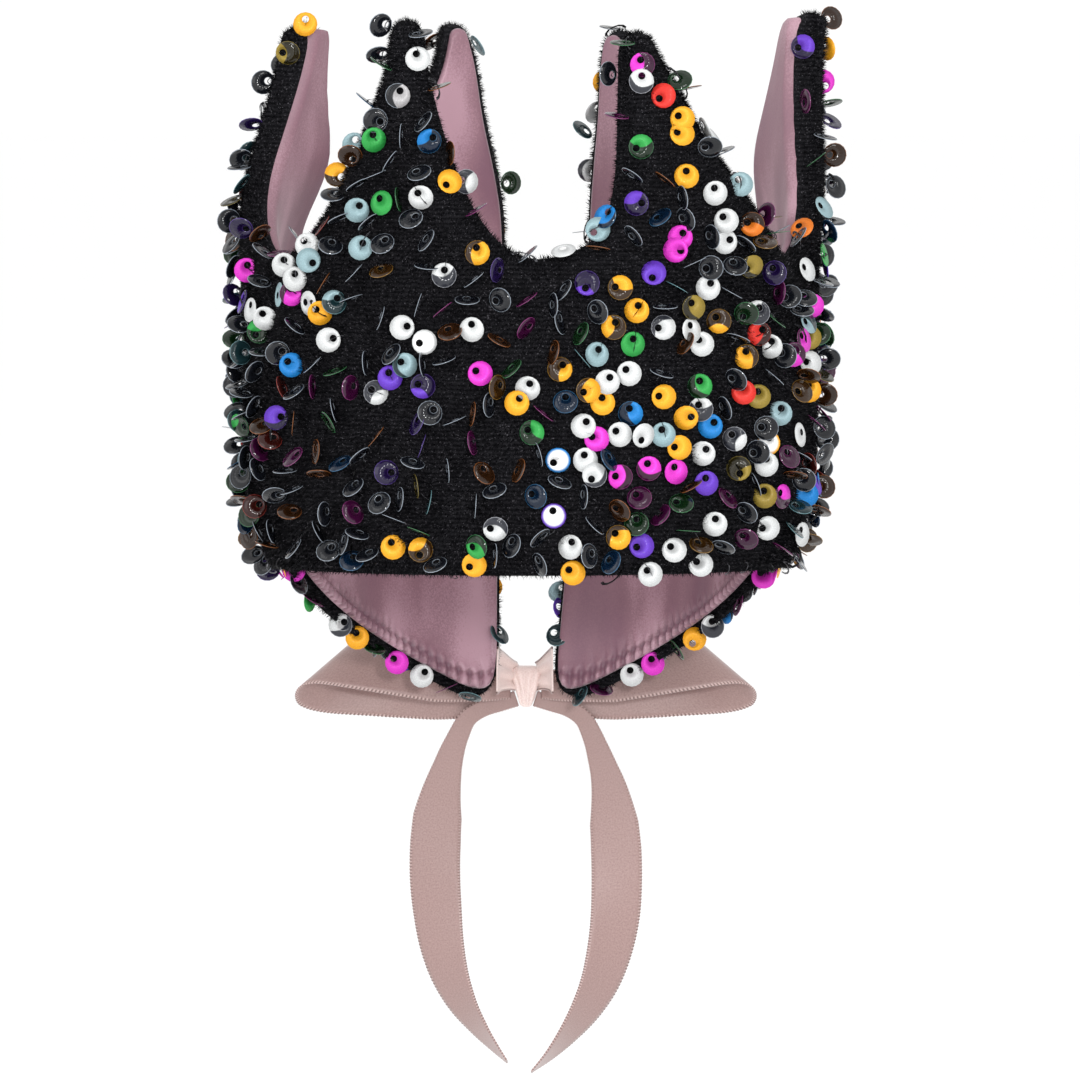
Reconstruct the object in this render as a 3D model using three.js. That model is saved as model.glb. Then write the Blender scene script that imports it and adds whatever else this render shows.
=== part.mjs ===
// A soft fabric crown: a padded strip with six points, worn round the head and tied at the back
// with a ribbon bow. Millimetres, +Z up, -Y is the front, and +X is to the right as seen from the front.
// The origin is the middle of the head opening, level with the front hem.
import * as THREE from "three";
import { mergeVertices } from "three/addons/utils/BufferGeometryUtils.js";

// The head opening, measured to the seam face between velvet and lining
const headHalfWidth = 64.8;
const headFrontDepth = 59; // from the widest place to the front
const headRearDepth = 99; // from the widest place to the back
const backGap = 13; // between the strip's two ends, where the ribbon ties them

// The strip
const stripShift = 1.4; // how far the strip sits round to the right of the oval's front middle
const bandHeight = 75.5; // front hem to the bottom of a notch
const pointHeight = 58; // notch to the tip of a full point
const napeDrop = 41; // how much lower the hem is at the back
const napeStart = 122; // along the strip from its front middle, where the hem starts to drop
const cornerRadius = 6; // the hem's round corner at each end
const tipRadius = 3.9;
const tipStart = 0.7; // share of a point's height where its sides start to round into the tip
const leanPower = 1.6; // a point leans in more and more towards its tip
const turnFullAt = 0.5; // share of a point's height where its turn is complete
const turnPanelParts = 6; // a point's half width, where its turn is measured, is one part of this many
const hemTuck = 2.6; // how far the hem draws in under the band
const hemTuckHeight = 34;

// The padded wall
const velvetThickness = 5.6;
const velvetEdge = 1.7;
const velvetRoll = 8; // how far in from its edge the wall reaches full thickness
const liningThickness = 1.7;
const liningEdge = 1;
const liningInset = 1.2; // how far the lining stops short of the velvet's edge
const liningInsetFullAt = 0.25; // share of a point's height where it stops short on the slanted sides too
const liningHemInset = 2.6; // how far it stops short of the hem
const seamGap = 0.6; // between velvet and lining, and between the strip's end and the tie sewn to it
const touchGap = 0.3; // between ribbon pieces that press on each other

// The ribbon
const ribbonWidth = 12.7;
const ribbonThickness = 1;
const knotWidth = 7.4;
const knotHeight = 10.6;
const knotDepth = 7;
const knotFoot = 0.72; // the knot's width at its foot, as a share of knotWidth
const knotSquareness = 0.55; // 1 is a ball, 0 a box
const knotDrop = 35.3; // the knot's middle below the front hem
const bowShift = -1.2; // the bow sits a little to one side of the gap's middle
const bowStandOff = 4.5; // the knot's middle behind the velvet's back face
const tieHeight = 9.6;
const tieNarrow = 0.7; // a tie's height at the knot, as a share of tieHeight
const tieDip = { bend: 0.2, knot: 0.6 }; // shares of the way down from a tie's top to the knot's middle
const tieThickness = 1.6;
const loopReach = 55; // knot's side to the loop's round end
const loopDepth = 11;
const loopRise = 8.5; // the front run of a loop above its back run
const loopTilt = 38; // degrees that a loop's round end leans towards the knot
const loopDrop = 2.4; // the back run's middle below the knot's middle
const tailTurn = 85; // degrees that a tail has turned at its end

// Mesh fineness
const panelColumns = 10;
const bandRows = 6;
const pointRows = 10;
const pointRowPower = 1.25; // rows lie closer together near the notches
const ovalSamples = 2000;
const hemSamples = 120;
const loopSteps = 36;
const tailSteps = 44;
const tieSteps = 8;
const knotSides = 20;
const knotRings = 14;
const mergeWithin = 1e-4; // corners closer than this are one

// How each side of a point draws in from its notch to its tip:
// height and reach are shares of the point's height and of the way out to the notch.
const bellSide = [
  { height: 0, reach: 1 },
  { height: 0.03, reach: 0.82 },
  { height: 0.12, reach: 0.62 },
  { height: 0.24, reach: 0.45 },
  { height: 0.4, reach: 0.3 },
  { height: 0.6, reach: 0.15 },
  { height: 0.8, reach: 0.04 },
  { height: 1, reach: 0 },
];
const slopingSide = [
  { height: 0, reach: 1 },
  { height: 0.15, reach: 0.78 },
  { height: 0.31, reach: 0.59 },
  { height: 0.49, reach: 0.37 },
  { height: 0.65, reach: 0.23 },
  { height: 0.82, reach: 0.13 },
  { height: 1, reach: 0 },
];
const steepSide = [
  { height: 0, reach: 1 },
  { height: 0.06, reach: 0.42 },
  { height: 0.15, reach: 0.22 },
  { height: 0.35, reach: 0.07 },
  { height: 0.7, reach: 0.02 },
  { height: 1, reach: 0 },
];
const endSide = [
  { height: 0, reach: 1 },
  { height: 0.2, reach: 0.94 },
  { height: 0.42, reach: 0.7 },
  { height: 0.62, reach: 0.42 },
  { height: 0.85, reach: 0.22 },
  { height: 1, reach: 0 },
];

// The six points from one end of the strip to the other. tip is where the tip stands between the
// middle of its base, 0, and the notch or end, -1 or 1. tall, inward and turn are shares of pointHeight:
// inward is how far the tip leans over the head, and turn how far the point's middle swings in when it
// turns about its left edge, or, below 0, about its right edge. backs is the share of backGap by which
// an end of the strip draws back from hem to notch.
const points = [
  { tip: -0.66, tall: 1, inward: 0.03, turn: 0, left: endSide, right: bellSide, backs: -0.15 },
  { tip: -0.04, tall: 0.99, inward: 0.1, turn: -0.085, left: bellSide, right: bellSide, backs: 0 },
  { tip: 0.13, tall: 1, inward: 0.04, turn: 0, left: bellSide, right: bellSide, backs: 0 },
  { tip: -0.34, tall: 0.95, inward: 0.02, turn: 0, left: steepSide, right: slopingSide, backs: 0 },
  { tip: 0.06, tall: 1.04, inward: -0.1, turn: 0.05, left: bellSide, right: bellSide, backs: 0 },
  { tip: 0.5, tall: 0.97, inward: 0.03, turn: 0, left: bellSide, right: endSide, backs: 0.72 },
];

// A loop of the bow from the knot out along its front run, round its end and back.
// out, back, rise, wide and tilt are shares of loopReach, loopDepth, loopRise, ribbonWidth and loopTilt.
const loopCourse = [
  { out: 0, back: 0.44, rise: 0.3, wide: 0.5, tilt: 0 },
  { out: 0.14, back: 0.14, rise: 0.38, wide: 0.72, tilt: 0 },
  { out: 0.4, back: 0, rise: 0.62, wide: 0.98, tilt: 0.1 },
  { out: 0.66, back: 0, rise: 0.88, wide: 1, tilt: 0.5 },
  { out: 0.85, back: 0.08, rise: 0.96, wide: 1, tilt: 0.9 },
  { out: 0.93, back: 0.3, rise: 0.82, wide: 1, tilt: 1 },
  { out: 0.96, back: 0.55, rise: 0.58, wide: 1, tilt: 1 },
  { out: 0.93, back: 0.82, rise: 0.28, wide: 1, tilt: 0.8 },
  { out: 0.82, back: 0.98, rise: 0.06, wide: 1, tilt: 0.4 },
  { out: 0.58, back: 1, rise: 0, wide: 1, tilt: 0.1 },
  { out: 0.3, back: 0.88, rise: 0, wide: 0.92, tilt: 0 },
  { out: 0, back: 0.72, rise: 0.1, wide: 0.5, tilt: 0 },
];

// The two ribbon ends that hang free, each along its middle, chosen by hand
const leftTail = [
  [-4.2, 88.4, -42.2],
  [-8.6, 89.6, -43.8],
  [-13.3, 90.8, -46],
  [-17.4, 91.8, -49.2],
  [-20.3, 92.7, -54],
  [-22.3, 93.4, -60.4],
  [-23.6, 94, -67.5],
  [-24.3, 94.4, -76],
  [-24.4, 94.6, -84.5],
  [-23.8, 94.6, -93],
  [-22.7, 94.4, -101.5],
  [-20.6, 94, -109.5],
  [-17.3, 93.4, -116.8],
  [-13.1, 92.7, -123],
  [-9.2, 92, -127.8],
  [-6, 91.4, -131.4],
];
const rightTail = [
  [1.8, 88.4, -42.2],
  [6, 89.6, -43.8],
  [10.8, 90.8, -46],
  [14.7, 91.8, -49.3],
  [17.6, 92.7, -54.2],
  [19.8, 93.4, -60.6],
  [21, 94, -67.8],
  [21.8, 94.4, -76.5],
  [22, 94.6, -85.5],
  [21.6, 94.6, -94.5],
  [20.2, 94.4, -103],
  [17.8, 94, -111],
  [14.2, 93.4, -118],
  [9.6, 92.7, -124.4],
  [4.8, 92, -129.8],
  [0.2, 91.4, -134],
];
// A tail leaves the knot gathered, opens to its full width and turns edge-on towards its end.
// width is a share of ribbonWidth and turn a share of tailTurn, from the knot down.
const tailCourse = [
  { width: 0.42, turn: 0 },
  { width: 0.52, turn: 0 },
  { width: 0.62, turn: 0 },
  { width: 0.72, turn: 0 },
  { width: 0.84, turn: 0 },
  { width: 0.96, turn: 0 },
  { width: 1, turn: 0 },
  { width: 1, turn: 0.04 },
  { width: 1, turn: 0.13 },
  { width: 1, turn: 0.25 },
  { width: 1, turn: 0.36 },
  { width: 1, turn: 0.48 },
  { width: 1, turn: 0.61 },
  { width: 1, turn: 0.75 },
  { width: 1, turn: 0.88 },
  { width: 1, turn: 1 },
];

// The oval round the head, walked by its length from the front middle

// The widest place lies this far in front of the origin
const ovalMiddle = (headRearDepth - headFrontDepth) / 2;

function ovalAt(angle) {
  const depth = Math.cos(angle) > 0 ? headFrontDepth : headRearDepth;
  return new THREE.Vector2(
    headHalfWidth * Math.sin(angle),
    -depth * Math.cos(angle) - ovalMiddle,
  );
}

const ovalLengths = [0];
for (let i = 1; i <= ovalSamples; i++) {
  const step = ovalAt((Math.PI * i) / ovalSamples).distanceTo(ovalAt((Math.PI * (i - 1)) / ovalSamples));
  ovalLengths.push(ovalLengths[i - 1] + step);
}
const halfOval = ovalLengths[ovalSamples];
const halfStrip = halfOval - backGap / 2;
const panelWidth = (2 * halfStrip) / points.length;
const turnSpan = panelWidth / turnPanelParts;

// The place on the oval and the way out of it, at a length along the strip
function ovalWalk(along) {
  const length = Math.min(Math.abs(along + stripShift), halfOval);
  let low = 0;
  let high = ovalSamples;
  while (high - low > 1) {
    const middle = (low + high) >> 1;
    if (ovalLengths[middle] > length) high = middle;
    else low = middle;
  }
  const part = (length - ovalLengths[low]) / (ovalLengths[high] - ovalLengths[low]);
  const angle = (Math.PI * (low + part)) / ovalSamples;
  const side = Math.sign(along + stripShift) || 1;
  const depth = Math.cos(angle) > 0 ? headFrontDepth : headRearDepth;
  const out = new THREE.Vector2(
    side * depth * Math.sin(angle),
    -headHalfWidth * Math.cos(angle),
  ).normalize();
  const place = ovalAt(angle);
  place.x *= side;
  return { place, out };
}

// The strip laid flat: along it and up it

const smooth = (x) => THREE.MathUtils.smoothstep(x, 0, 1);
const mix = THREE.MathUtils.lerp;

function hemAt(along) {
  const past = Math.abs(along) - napeStart;
  const slant = napeDrop / (halfStrip - cornerRadius - napeStart);
  const soften = cornerRadius;
  const eased = past < soften ? (past * past) / (2 * soften) : past - soften / 2;
  const drop = past <= 0 ? 0 : slant * eased;
  const fromEnd = halfStrip - Math.abs(along);
  const inCorner = Math.min(Math.max(1 - fromEnd / cornerRadius, 0), 1);
  const lift = cornerRadius * (1 - Math.sqrt(1 - inCorner * inCorner));
  return -Math.min(drop, napeDrop) + lift;
}

// Reach at a height, read off a side's table along a smooth curve
function reachAt(side, height) {
  let row = 1;
  while (row < side.length - 1 && side[row].height < height) row++;
  const a = side[row - 1];
  const b = side[row];
  const slope = (i) => {
    const before = side[Math.max(i - 1, 0)];
    const after = side[Math.min(i + 1, side.length - 1)];
    return (after.reach - before.reach) / (after.height - before.height);
  };
  const span = b.height - a.height;
  const t = (height - a.height) / span;
  const value =
    (2 * t ** 3 - 3 * t ** 2 + 1) * a.reach +
    (t ** 3 - 2 * t ** 2 + t) * span * slope(row - 1) +
    (-2 * t ** 3 + 3 * t ** 2) * b.reach +
    (t ** 3 - t ** 2) * span * slope(row);
  return Math.min(Math.max(value, 0), 1);
}

function notchAt(index) {
  return -halfStrip + index * panelWidth;
}

// A panel is one point and the band under it. across runs from -1 to 1, row from 0 at the hem.
function panelPlace(index, across, row, inset, hemInset) {
  const point = points[index];
  const start = notchAt(index);
  const end = notchAt(index + 1);
  const middle = (start + end) / 2;
  const firstEnd = index === 0 ? inset : 0;
  const lastEnd = index === points.length - 1 ? inset : 0;
  const setBack = point.backs * backGap;
  const share = (across + 1) / 2;
  const up = Math.min(row / bandRows, 1);
  const left = start + firstEnd + (index === 0 ? setBack * up : 0);
  const right = end - lastEnd - (index === points.length - 1 ? setBack * up : 0);
  if (row <= bandRows) {
    const along = mix(left, right, share);
    const hem = hemAt(along) + hemInset;
    return { along, height: mix(hem, bandHeight - inset, up), lean: 0 };
  }
  const climb = ((row - bandRows) / pointRows) ** pointRowPower;
  const tall = point.tall * pointHeight;
  const tip = middle + (point.tip * panelWidth) / 2;
  const half = tipRadius - inset * smooth(climb / liningInsetFullAt);
  const toLeft = half + (tip - half - left) * reachAt(point.left, climb);
  const toRight = half + (right - tip - half) * reachAt(point.right, climb);
  const roundness = smooth((climb - tipStart) / (1 - tipStart));
  const rounding = half * (1 - Math.sqrt(Math.max(1 - across * across, 0))) * roundness;
  const height = bandHeight - inset + tall * climb - rounding;
  const risen = Math.max((height - bandHeight) / tall, 0);
  const along = mix(tip - toLeft, tip + toRight, share);
  const turned = Math.abs(point.turn) + (point.turn * (along - tip)) / turnSpan;
  const lean = pointHeight * (point.inward * risen ** leanPower + turned * smooth(risen / turnFullAt));
  return { along, height, lean };
}

// The strip's outline, to know how far a place lies from the edge
const outline = [];
for (let index = 0; index < points.length; index++)
  for (const across of [-1, 1]) {
    const rows = [];
    for (let row = bandRows; row <= bandRows + pointRows; row += 0.5) rows.push(row);
    if (across > 0) rows.reverse();
    for (const row of rows) {
      const { along, height } = panelPlace(index, across, row, 0, 0);
      outline.push(new THREE.Vector2(along, height));
    }
  }
for (let i = 0; i <= hemSamples; i++) {
  const along = halfStrip - (2 * halfStrip * i) / hemSamples;
  outline.push(new THREE.Vector2(along, hemAt(along)));
}

function edgeDistance(along, height) {
  const spot = new THREE.Vector2(along, height);
  let nearest = Infinity;
  outline.forEach((a, i) => {
    const b = outline[(i + 1) % outline.length];
    const run = b.clone().sub(a);
    const share = run.lengthSq() ? spot.clone().sub(a).dot(run) / run.lengthSq() : 0;
    const foot = a.clone().addScaledVector(run, THREE.MathUtils.clamp(share, 0, 1));
    nearest = Math.min(nearest, spot.distanceTo(foot));
  });
  return nearest;
}

function padding(along, height, edge, full) {
  const away = 1 - Math.min(edgeDistance(along, height) / velvetRoll, 1);
  return edge + (full - edge) * Math.sqrt(1 - away * away);
}

// One layer of the strip: a box for each panel, bent to the layer's shape, with the walls left out
// where two panels meet. face maps the layer's two faces to how far they lie outside the seam face.
function stripLayer(inset, hemInset, face) {
  const rows = bandRows + pointRows;
  const corners = [];
  for (let index = 0; index < points.length; index++) {
    const box = new THREE.BoxGeometry(2, rows, 1, panelColumns, rows, 1).toNonIndexed();
    const spots = box.getAttribute("position");
    for (let i = 0; i < spots.count; i += 3) {
      const three = [0, 1, 2].map((k) => new THREE.Vector3().fromBufferAttribute(spots, i + k));
      if (!isInnerWall(index, three)) corners.push(...three.map((spot) => bentPlace(index, spot)));
    }
  }
  return mergeVertices(new THREE.BufferGeometry().setFromPoints(corners), mergeWithin);

  function isInnerWall(index, three) {
    const side = three[0].x;
    const neighbour = index + Math.sign(side);
    const onSide = Math.abs(side) === 1 && three.every((spot) => spot.x === side);
    const inBand = three.every((spot) => spot.y + rows / 2 <= bandRows);
    return onSide && inBand && neighbour >= 0 && neighbour < points.length;
  }

  function bentPlace(index, spot) {
    const { along, height, lean } = panelPlace(index, spot.x, spot.y + rows / 2, inset, hemInset);
    const { place, out } = ovalWalk(along);
    const tuck = hemTuck * (1 - smooth((height - hemAt(along)) / hemTuckHeight));
    const outward = face(along, height, spot.z < 0) - lean - tuck;
    return new THREE.Vector3(place.x + out.x * outward, place.y + out.y * outward, height);
  }
}

function velvetShell() {
  return stripLayer(0, 0, (along, height, inner) =>
    inner ? 0 : padding(along, height, velvetEdge, velvetThickness),
  );
}

function satinLining() {
  return stripLayer(liningInset, liningHemInset, (along, height, inner) =>
    inner ? -seamGap - padding(along, height, liningEdge, liningThickness) : -seamGap,
  );
}

// A ribbon along a course: a long box bent to it, its width laid as near as can be to wayAcross
function ribbon(curve, steps, widthAt, thickness, wayAcross) {
  const box = new THREE.BoxGeometry(1, 1, steps, 2, 1, steps);
  const spots = box.getAttribute("position");
  const widthWay = new THREE.Vector3();
  const faceWay = new THREE.Vector3();
  for (let i = 0; i < spots.count; i++) {
    const share = Math.round(spots.getZ(i) + steps / 2) / steps;
    const middle = curve.getPointAt(share);
    const tangent = curve.getTangentAt(share);
    widthWay.copy(wayAcross({ share, tangent }));
    widthWay.addScaledVector(tangent, -widthWay.dot(tangent)).normalize();
    faceWay.crossVectors(tangent, widthWay);
    middle
      .addScaledVector(widthWay, spots.getX(i) * widthAt(share))
      .addScaledVector(faceWay, spots.getY(i) * thickness);
    spots.setXYZ(i, middle.x, middle.y, middle.z);
  }
  return box;
}

function alongTable(values, share) {
  const at = share * (values.length - 1);
  const i = Math.min(Math.floor(at), values.length - 2);
  return mix(values[i], values[i + 1], smooth(at - i));
}

const backFace = headRearDepth - ovalMiddle + velvetThickness;
const knotMiddle = new THREE.Vector3(bowShift, backFace + bowStandOff, -knotDrop);

// side is -1 for the loop on the left, 1 for the right
function bowLoop(side) {
  const widths = loopCourse.map((row) => row.wide);
  const tilts = loopCourse.map((row) => row.tilt);
  const start = new THREE.Vector3(
    knotMiddle.x + side * (knotWidth / 2 + touchGap),
    knotMiddle.y - loopDepth / 2,
    knotMiddle.z - loopDrop,
  );
  const course = loopCourse.map(
    ({ out, back, rise }) =>
      new THREE.Vector3(
        start.x + side * out * loopReach,
        start.y + back * loopDepth,
        start.z + rise * loopRise,
      ),
  );
  const curve = new THREE.CatmullRomCurve3(course, false, "centripetal");
  const tiltAt = (share) => THREE.MathUtils.degToRad(loopTilt * alongTable(tilts, share));
  return ribbon(
    curve,
    loopSteps,
    (share) => ribbonWidth * alongTable(widths, share),
    ribbonThickness,
    ({ share }) => new THREE.Vector3(-side * Math.sin(tiltAt(share)), 0, Math.cos(tiltAt(share))),
  );
}

// A tail hangs with its face to the front, and its outer edge turns to the back on the way down
function ribbonTail(side, course) {
  const widths = tailCourse.map((row) => row.width);
  const turns = tailCourse.map((row) => row.turn);
  const curve = new THREE.CatmullRomCurve3(
    course.map((spot) => new THREE.Vector3(...spot)),
    false,
    "centripetal",
  );
  const back = new THREE.Vector3(0, 1, 0);
  return ribbon(
    curve,
    tailSteps,
    (share) => ribbonWidth * alongTable(widths, share),
    ribbonThickness,
    ({ share, tangent }) => {
      const turn = -side * THREE.MathUtils.degToRad(tailTurn * alongTable(turns, share));
      return new THREE.Vector3().crossVectors(back, tangent).normalize().applyAxisAngle(tangent, turn);
    },
  );
}

// A tie runs from the strip's end edge, above its lower corner, to the front of the knot's side
function ribbonTie(side) {
  const { place, out } = ovalWalk(side * halfStrip);
  const toGap = new THREE.Vector2(-side, 0);
  const offEnd = seamGap + tieThickness / 2;
  const sewn = place.clone().addScaledVector(toGap, offEnd).addScaledVector(out, velvetEdge / 2);
  const top = knotMiddle.z + tieHeight / 2;
  const course = new THREE.CatmullRomCurve3([
    new THREE.Vector3(sewn.x, sewn.y, top),
    new THREE.Vector3(sewn.x, sewn.y + tieThickness, mix(top, knotMiddle.z, tieDip.bend)),
    new THREE.Vector3(
      knotMiddle.x + side * (knotWidth / 2 + touchGap),
      knotMiddle.y - knotDepth / 2 + touchGap,
      mix(top, knotMiddle.z, tieDip.knot),
    ),
  ]);
  const up = new THREE.Vector3(0, 0, 1);
  return ribbon(course, tieSteps, (share) => tieHeight * mix(1, tieNarrow, share), tieThickness, () => up);
}

// The knot: a wrapped pad, fullest at its middle and narrower at its foot
function bowKnot() {
  const ball = new THREE.SphereGeometry(0.5, knotSides, knotRings);
  const spots = ball.getAttribute("position");
  const squared = (x) => Math.sign(x) * 0.5 * Math.abs(2 * x) ** knotSquareness;
  for (let i = 0; i < spots.count; i++) {
    const up = squared(spots.getY(i));
    const taper = mix(knotFoot, 1, smooth(up + 0.5));
    spots.setXYZ(
      i,
      knotMiddle.x + squared(spots.getX(i)) * knotWidth * taper,
      knotMiddle.y - squared(spots.getZ(i)) * knotDepth,
      knotMiddle.z + up * knotHeight,
    );
  }
  return ball;
}

const velvet = { color: 0x0c0c0f, roughness: 0.95, metalness: 0 };
const satin = { color: 0xa8868e, roughness: 0.45, metalness: 0 };
const ribbonSatin = { color: 0xb59a96, roughness: 0.5, metalness: 0 };

const crown = new THREE.Group();

function addPiece(name, geometry, look) {
  const piece = new THREE.Mesh(geometry, new THREE.MeshStandardMaterial(look));
  piece.name = name;
  crown.add(piece);
}

addPiece("velvet_shell", velvetShell(), velvet);
addPiece("satin_lining", satinLining(), satin);
addPiece("bow_knot", bowKnot(), ribbonSatin);
for (const { word, side, tail } of [
  { word: "left", side: -1, tail: leftTail },
  { word: "right", side: 1, tail: rightTail },
]) {
  addPiece(`ribbon_tie_${word}`, ribbonTie(side), ribbonSatin);
  addPiece(`bow_loop_${word}`, bowLoop(side), ribbonSatin);
  addPiece(`ribbon_tail_${word}`, ribbonTail(side, tail), ribbonSatin);
}

export default crown;
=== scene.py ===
"""The finish of a sequin crown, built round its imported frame. Metres, +Z up, -Y is the front.

A padded velvet wall under its pile, sewn-on sequins, a satin lining and a tied satin ribbon.
"""
import math

import bmesh
import bpy
import numpy as np
from mathutils import Matrix, Vector
from mathutils.bvhtree import BVHTree


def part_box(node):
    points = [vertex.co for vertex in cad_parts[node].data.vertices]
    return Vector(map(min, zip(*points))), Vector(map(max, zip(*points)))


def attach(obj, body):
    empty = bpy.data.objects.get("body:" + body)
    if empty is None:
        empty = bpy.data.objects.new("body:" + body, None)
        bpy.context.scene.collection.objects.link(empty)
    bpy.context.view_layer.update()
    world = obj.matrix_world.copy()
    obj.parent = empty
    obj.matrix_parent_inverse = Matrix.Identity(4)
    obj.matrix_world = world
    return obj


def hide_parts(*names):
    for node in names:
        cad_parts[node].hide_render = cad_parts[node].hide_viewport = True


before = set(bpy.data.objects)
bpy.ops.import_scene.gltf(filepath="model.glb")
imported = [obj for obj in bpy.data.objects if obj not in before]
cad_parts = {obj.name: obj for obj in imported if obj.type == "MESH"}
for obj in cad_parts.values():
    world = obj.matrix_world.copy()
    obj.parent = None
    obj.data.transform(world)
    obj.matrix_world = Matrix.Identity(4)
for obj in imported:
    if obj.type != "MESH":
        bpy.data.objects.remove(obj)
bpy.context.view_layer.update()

bl_info = {
    "name": "Sequin Crown",
    "version": (1, 0, 0),
    "blender": (4, 5, 0),
    "location": "3D View > Sidebar > Crown",
    "description": "Builds a velvet crown with sewn-on sequins, a satin lining and a ribbon bow",
    "category": "Object",
}

SEED = 7
MM = 0.001
UP = Vector((0, 0, 1))
LINING_NEAR = 1.3 * MM  # velvet that lies this near the lining is under it
STREWN_SEQUINS = 40000  # places tried, many more than are kept

WALL_LOW, WALL_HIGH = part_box("velvet_shell")
HEAD_MIDDLE = np.array([(WALL_LOW.x + WALL_HIGH.x) / 2, (WALL_LOW.y + WALL_HIGH.y) / 2])
HALF_WIDTH = (WALL_HIGH.x - WALL_LOW.x) / 2
KNOT_LOW, KNOT_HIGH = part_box("bow_knot")
KNOT_MIDDLE = (KNOT_LOW + KNOT_HIGH) / 2

# The two tails' routes, in millimetres, as the solids run
LEFT_TAIL = (
    (-3.6, 88.6, -38.4), (-8, 89.4, -39.8), (-12.4, 90.4, -41.2), (-16, 91.4, -43.6), (-18.2, 92, -47.6),
    (-20.3, 92.7, -53), (-22.3, 93.4, -60.4), (-23.6, 94, -67.5), (-24.3, 94.4, -76),
    (-24.4, 94.6, -84.5), (-23.8, 94.6, -93), (-22.7, 94.4, -101.5), (-20.6, 94, -109.5),
    (-17.3, 93.4, -116.8), (-13.1, 92.7, -123), (-9.2, 92, -127.8), (-6, 91.4, -131.4),
)
RIGHT_TAIL = (
    (1.2, 88.6, -38.4), (5.6, 89.4, -39.8), (9.9, 90.4, -41.2), (13.4, 91.4, -43.7), (15.6, 92, -47.8),
    (17.6, 92.7, -53.2), (19.8, 93.4, -60.6), (21, 94, -67.8), (21.8, 94.4, -76.5),
    (22, 94.6, -85.5), (21.6, 94.6, -94.5), (20.2, 94.4, -103), (17.8, 94, -111),
    (14.2, 93.4, -118), (9.6, 92.7, -124.4), (4.8, 92, -129.8), (0.2, 91.4, -134),
)
# Shares of the ribbon's width and of its full turn, from the knot down
TAIL_WIDTHS = (0.3, 0.3, 0.34, 0.42, 0.56, 0.76, 0.96, 1, 1, 1, 1, 1, 1, 1, 1, 1, 1)
TAIL_TURNS = (0, 0, 0, 0, 0, 0, 0, 0, 0.04, 0.13, 0.25, 0.36, 0.48, 0.61, 0.75, 0.88, 1)

# A loop of the bow, from the knot along its front run, round its end and back to the knot.
# out, back and rise are shares of the loop's reach, depth and rise. wide is the share of the ribbon's width
# that shows from the front, lean how far its top edge leans back for it, and tilt a share of the fold's.
LOOP_COURSE = (
    {"out": 0, "back": 0.44, "rise": 0.3, "wide": 0.5, "tilt": 0, "lean": 0},
    {"out": 0.14, "back": 0.14, "rise": 0.38, "wide": 0.72, "tilt": 0, "lean": 0},
    {"out": 0.4, "back": 0, "rise": 0.62, "wide": 0.96, "tilt": 0.1, "lean": 0.15},
    {"out": 0.66, "back": 0, "rise": 0.86, "wide": 0.88, "tilt": 0.5, "lean": 0.4},
    {"out": 0.85, "back": 0.08, "rise": 1.02, "wide": 0.8, "tilt": 0.9, "lean": 0.55},
    {"out": 0.93, "back": 0.3, "rise": 0.92, "wide": 0.78, "tilt": 1, "lean": 0.5},
    {"out": 0.96, "back": 0.55, "rise": 0.62, "wide": 0.82, "tilt": 1, "lean": 0.35},
    {"out": 0.93, "back": 0.82, "rise": 0.3, "wide": 0.9, "tilt": 0.8, "lean": 0.2},
    {"out": 0.82, "back": 0.98, "rise": 0.12, "wide": 1, "tilt": 0.4, "lean": 0},
    {"out": 0.58, "back": 1, "rise": 0.08, "wide": 1, "tilt": 0.1, "lean": 0},
    {"out": 0.3, "back": 0.88, "rise": 0, "wide": 0.92, "tilt": 0, "lean": 0},
    {"out": 0, "back": 0.72, "rise": 0.1, "wide": 0.5, "tilt": 0, "lean": 0},
)

# Sequin foils: the colour painted on a face that lies in the light, the painted shade of one turned away from
# it, the painted highlight on a shaded one's cut rim and round its hole, and how common each is
# among the sequins that catch the light (lit) and those that don't (dull)
FOILS = {
    "silver": {"painted_light": "CFD1D1", "painted_shade": "2A2C33", "rim": "9A9CA3", "lit": 0.27, "dull": 0},
    "gold": {"painted_light": "EDA61F", "painted_shade": "2C1A07", "rim": "7E5E2A", "lit": 0.19, "dull": 0.03},
    "magenta": {"painted_light": "D934C2", "painted_shade": "300828", "rim": "743063", "lit": 0.11, "dull": 0.05},
    "violet": {"painted_light": "6236B8", "painted_shade": "170C30", "rim": "4C3A78", "lit": 0.1, "dull": 0.05},
    "aqua": {"painted_light": "8FAAB0", "painted_shade": "14282C", "rim": "5F8288", "lit": 0.1, "dull": 0.05},
    "blue": {"painted_light": "1178C0", "painted_shade": "06172A", "rim": "305878", "lit": 0.06, "dull": 0.04},
    "green": {"painted_light": "2B9A44", "painted_shade": "0A1F0D", "rim": "3B6B48", "lit": 0.06, "dull": 0.08},
    "copper": {"painted_light": "DB7419", "painted_shade": "241307", "rim": "7A4A28", "lit": 0.05, "dull": 0.14},
    "red": {"painted_light": "D82F26", "painted_shade": "2A0B08", "rim": "7A302A", "lit": 0.03, "dull": 0.02},
    "olive": {"painted_light": "8F7A2E", "painted_shade": "1E1A08", "rim": "6A5E30", "lit": 0.03, "dull": 0.02},
    "clear": {"painted_light": "A9A7A8", "painted_shade": "101217", "rim": "8A929C", "lit": 0, "dull": 0.6},
}
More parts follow.
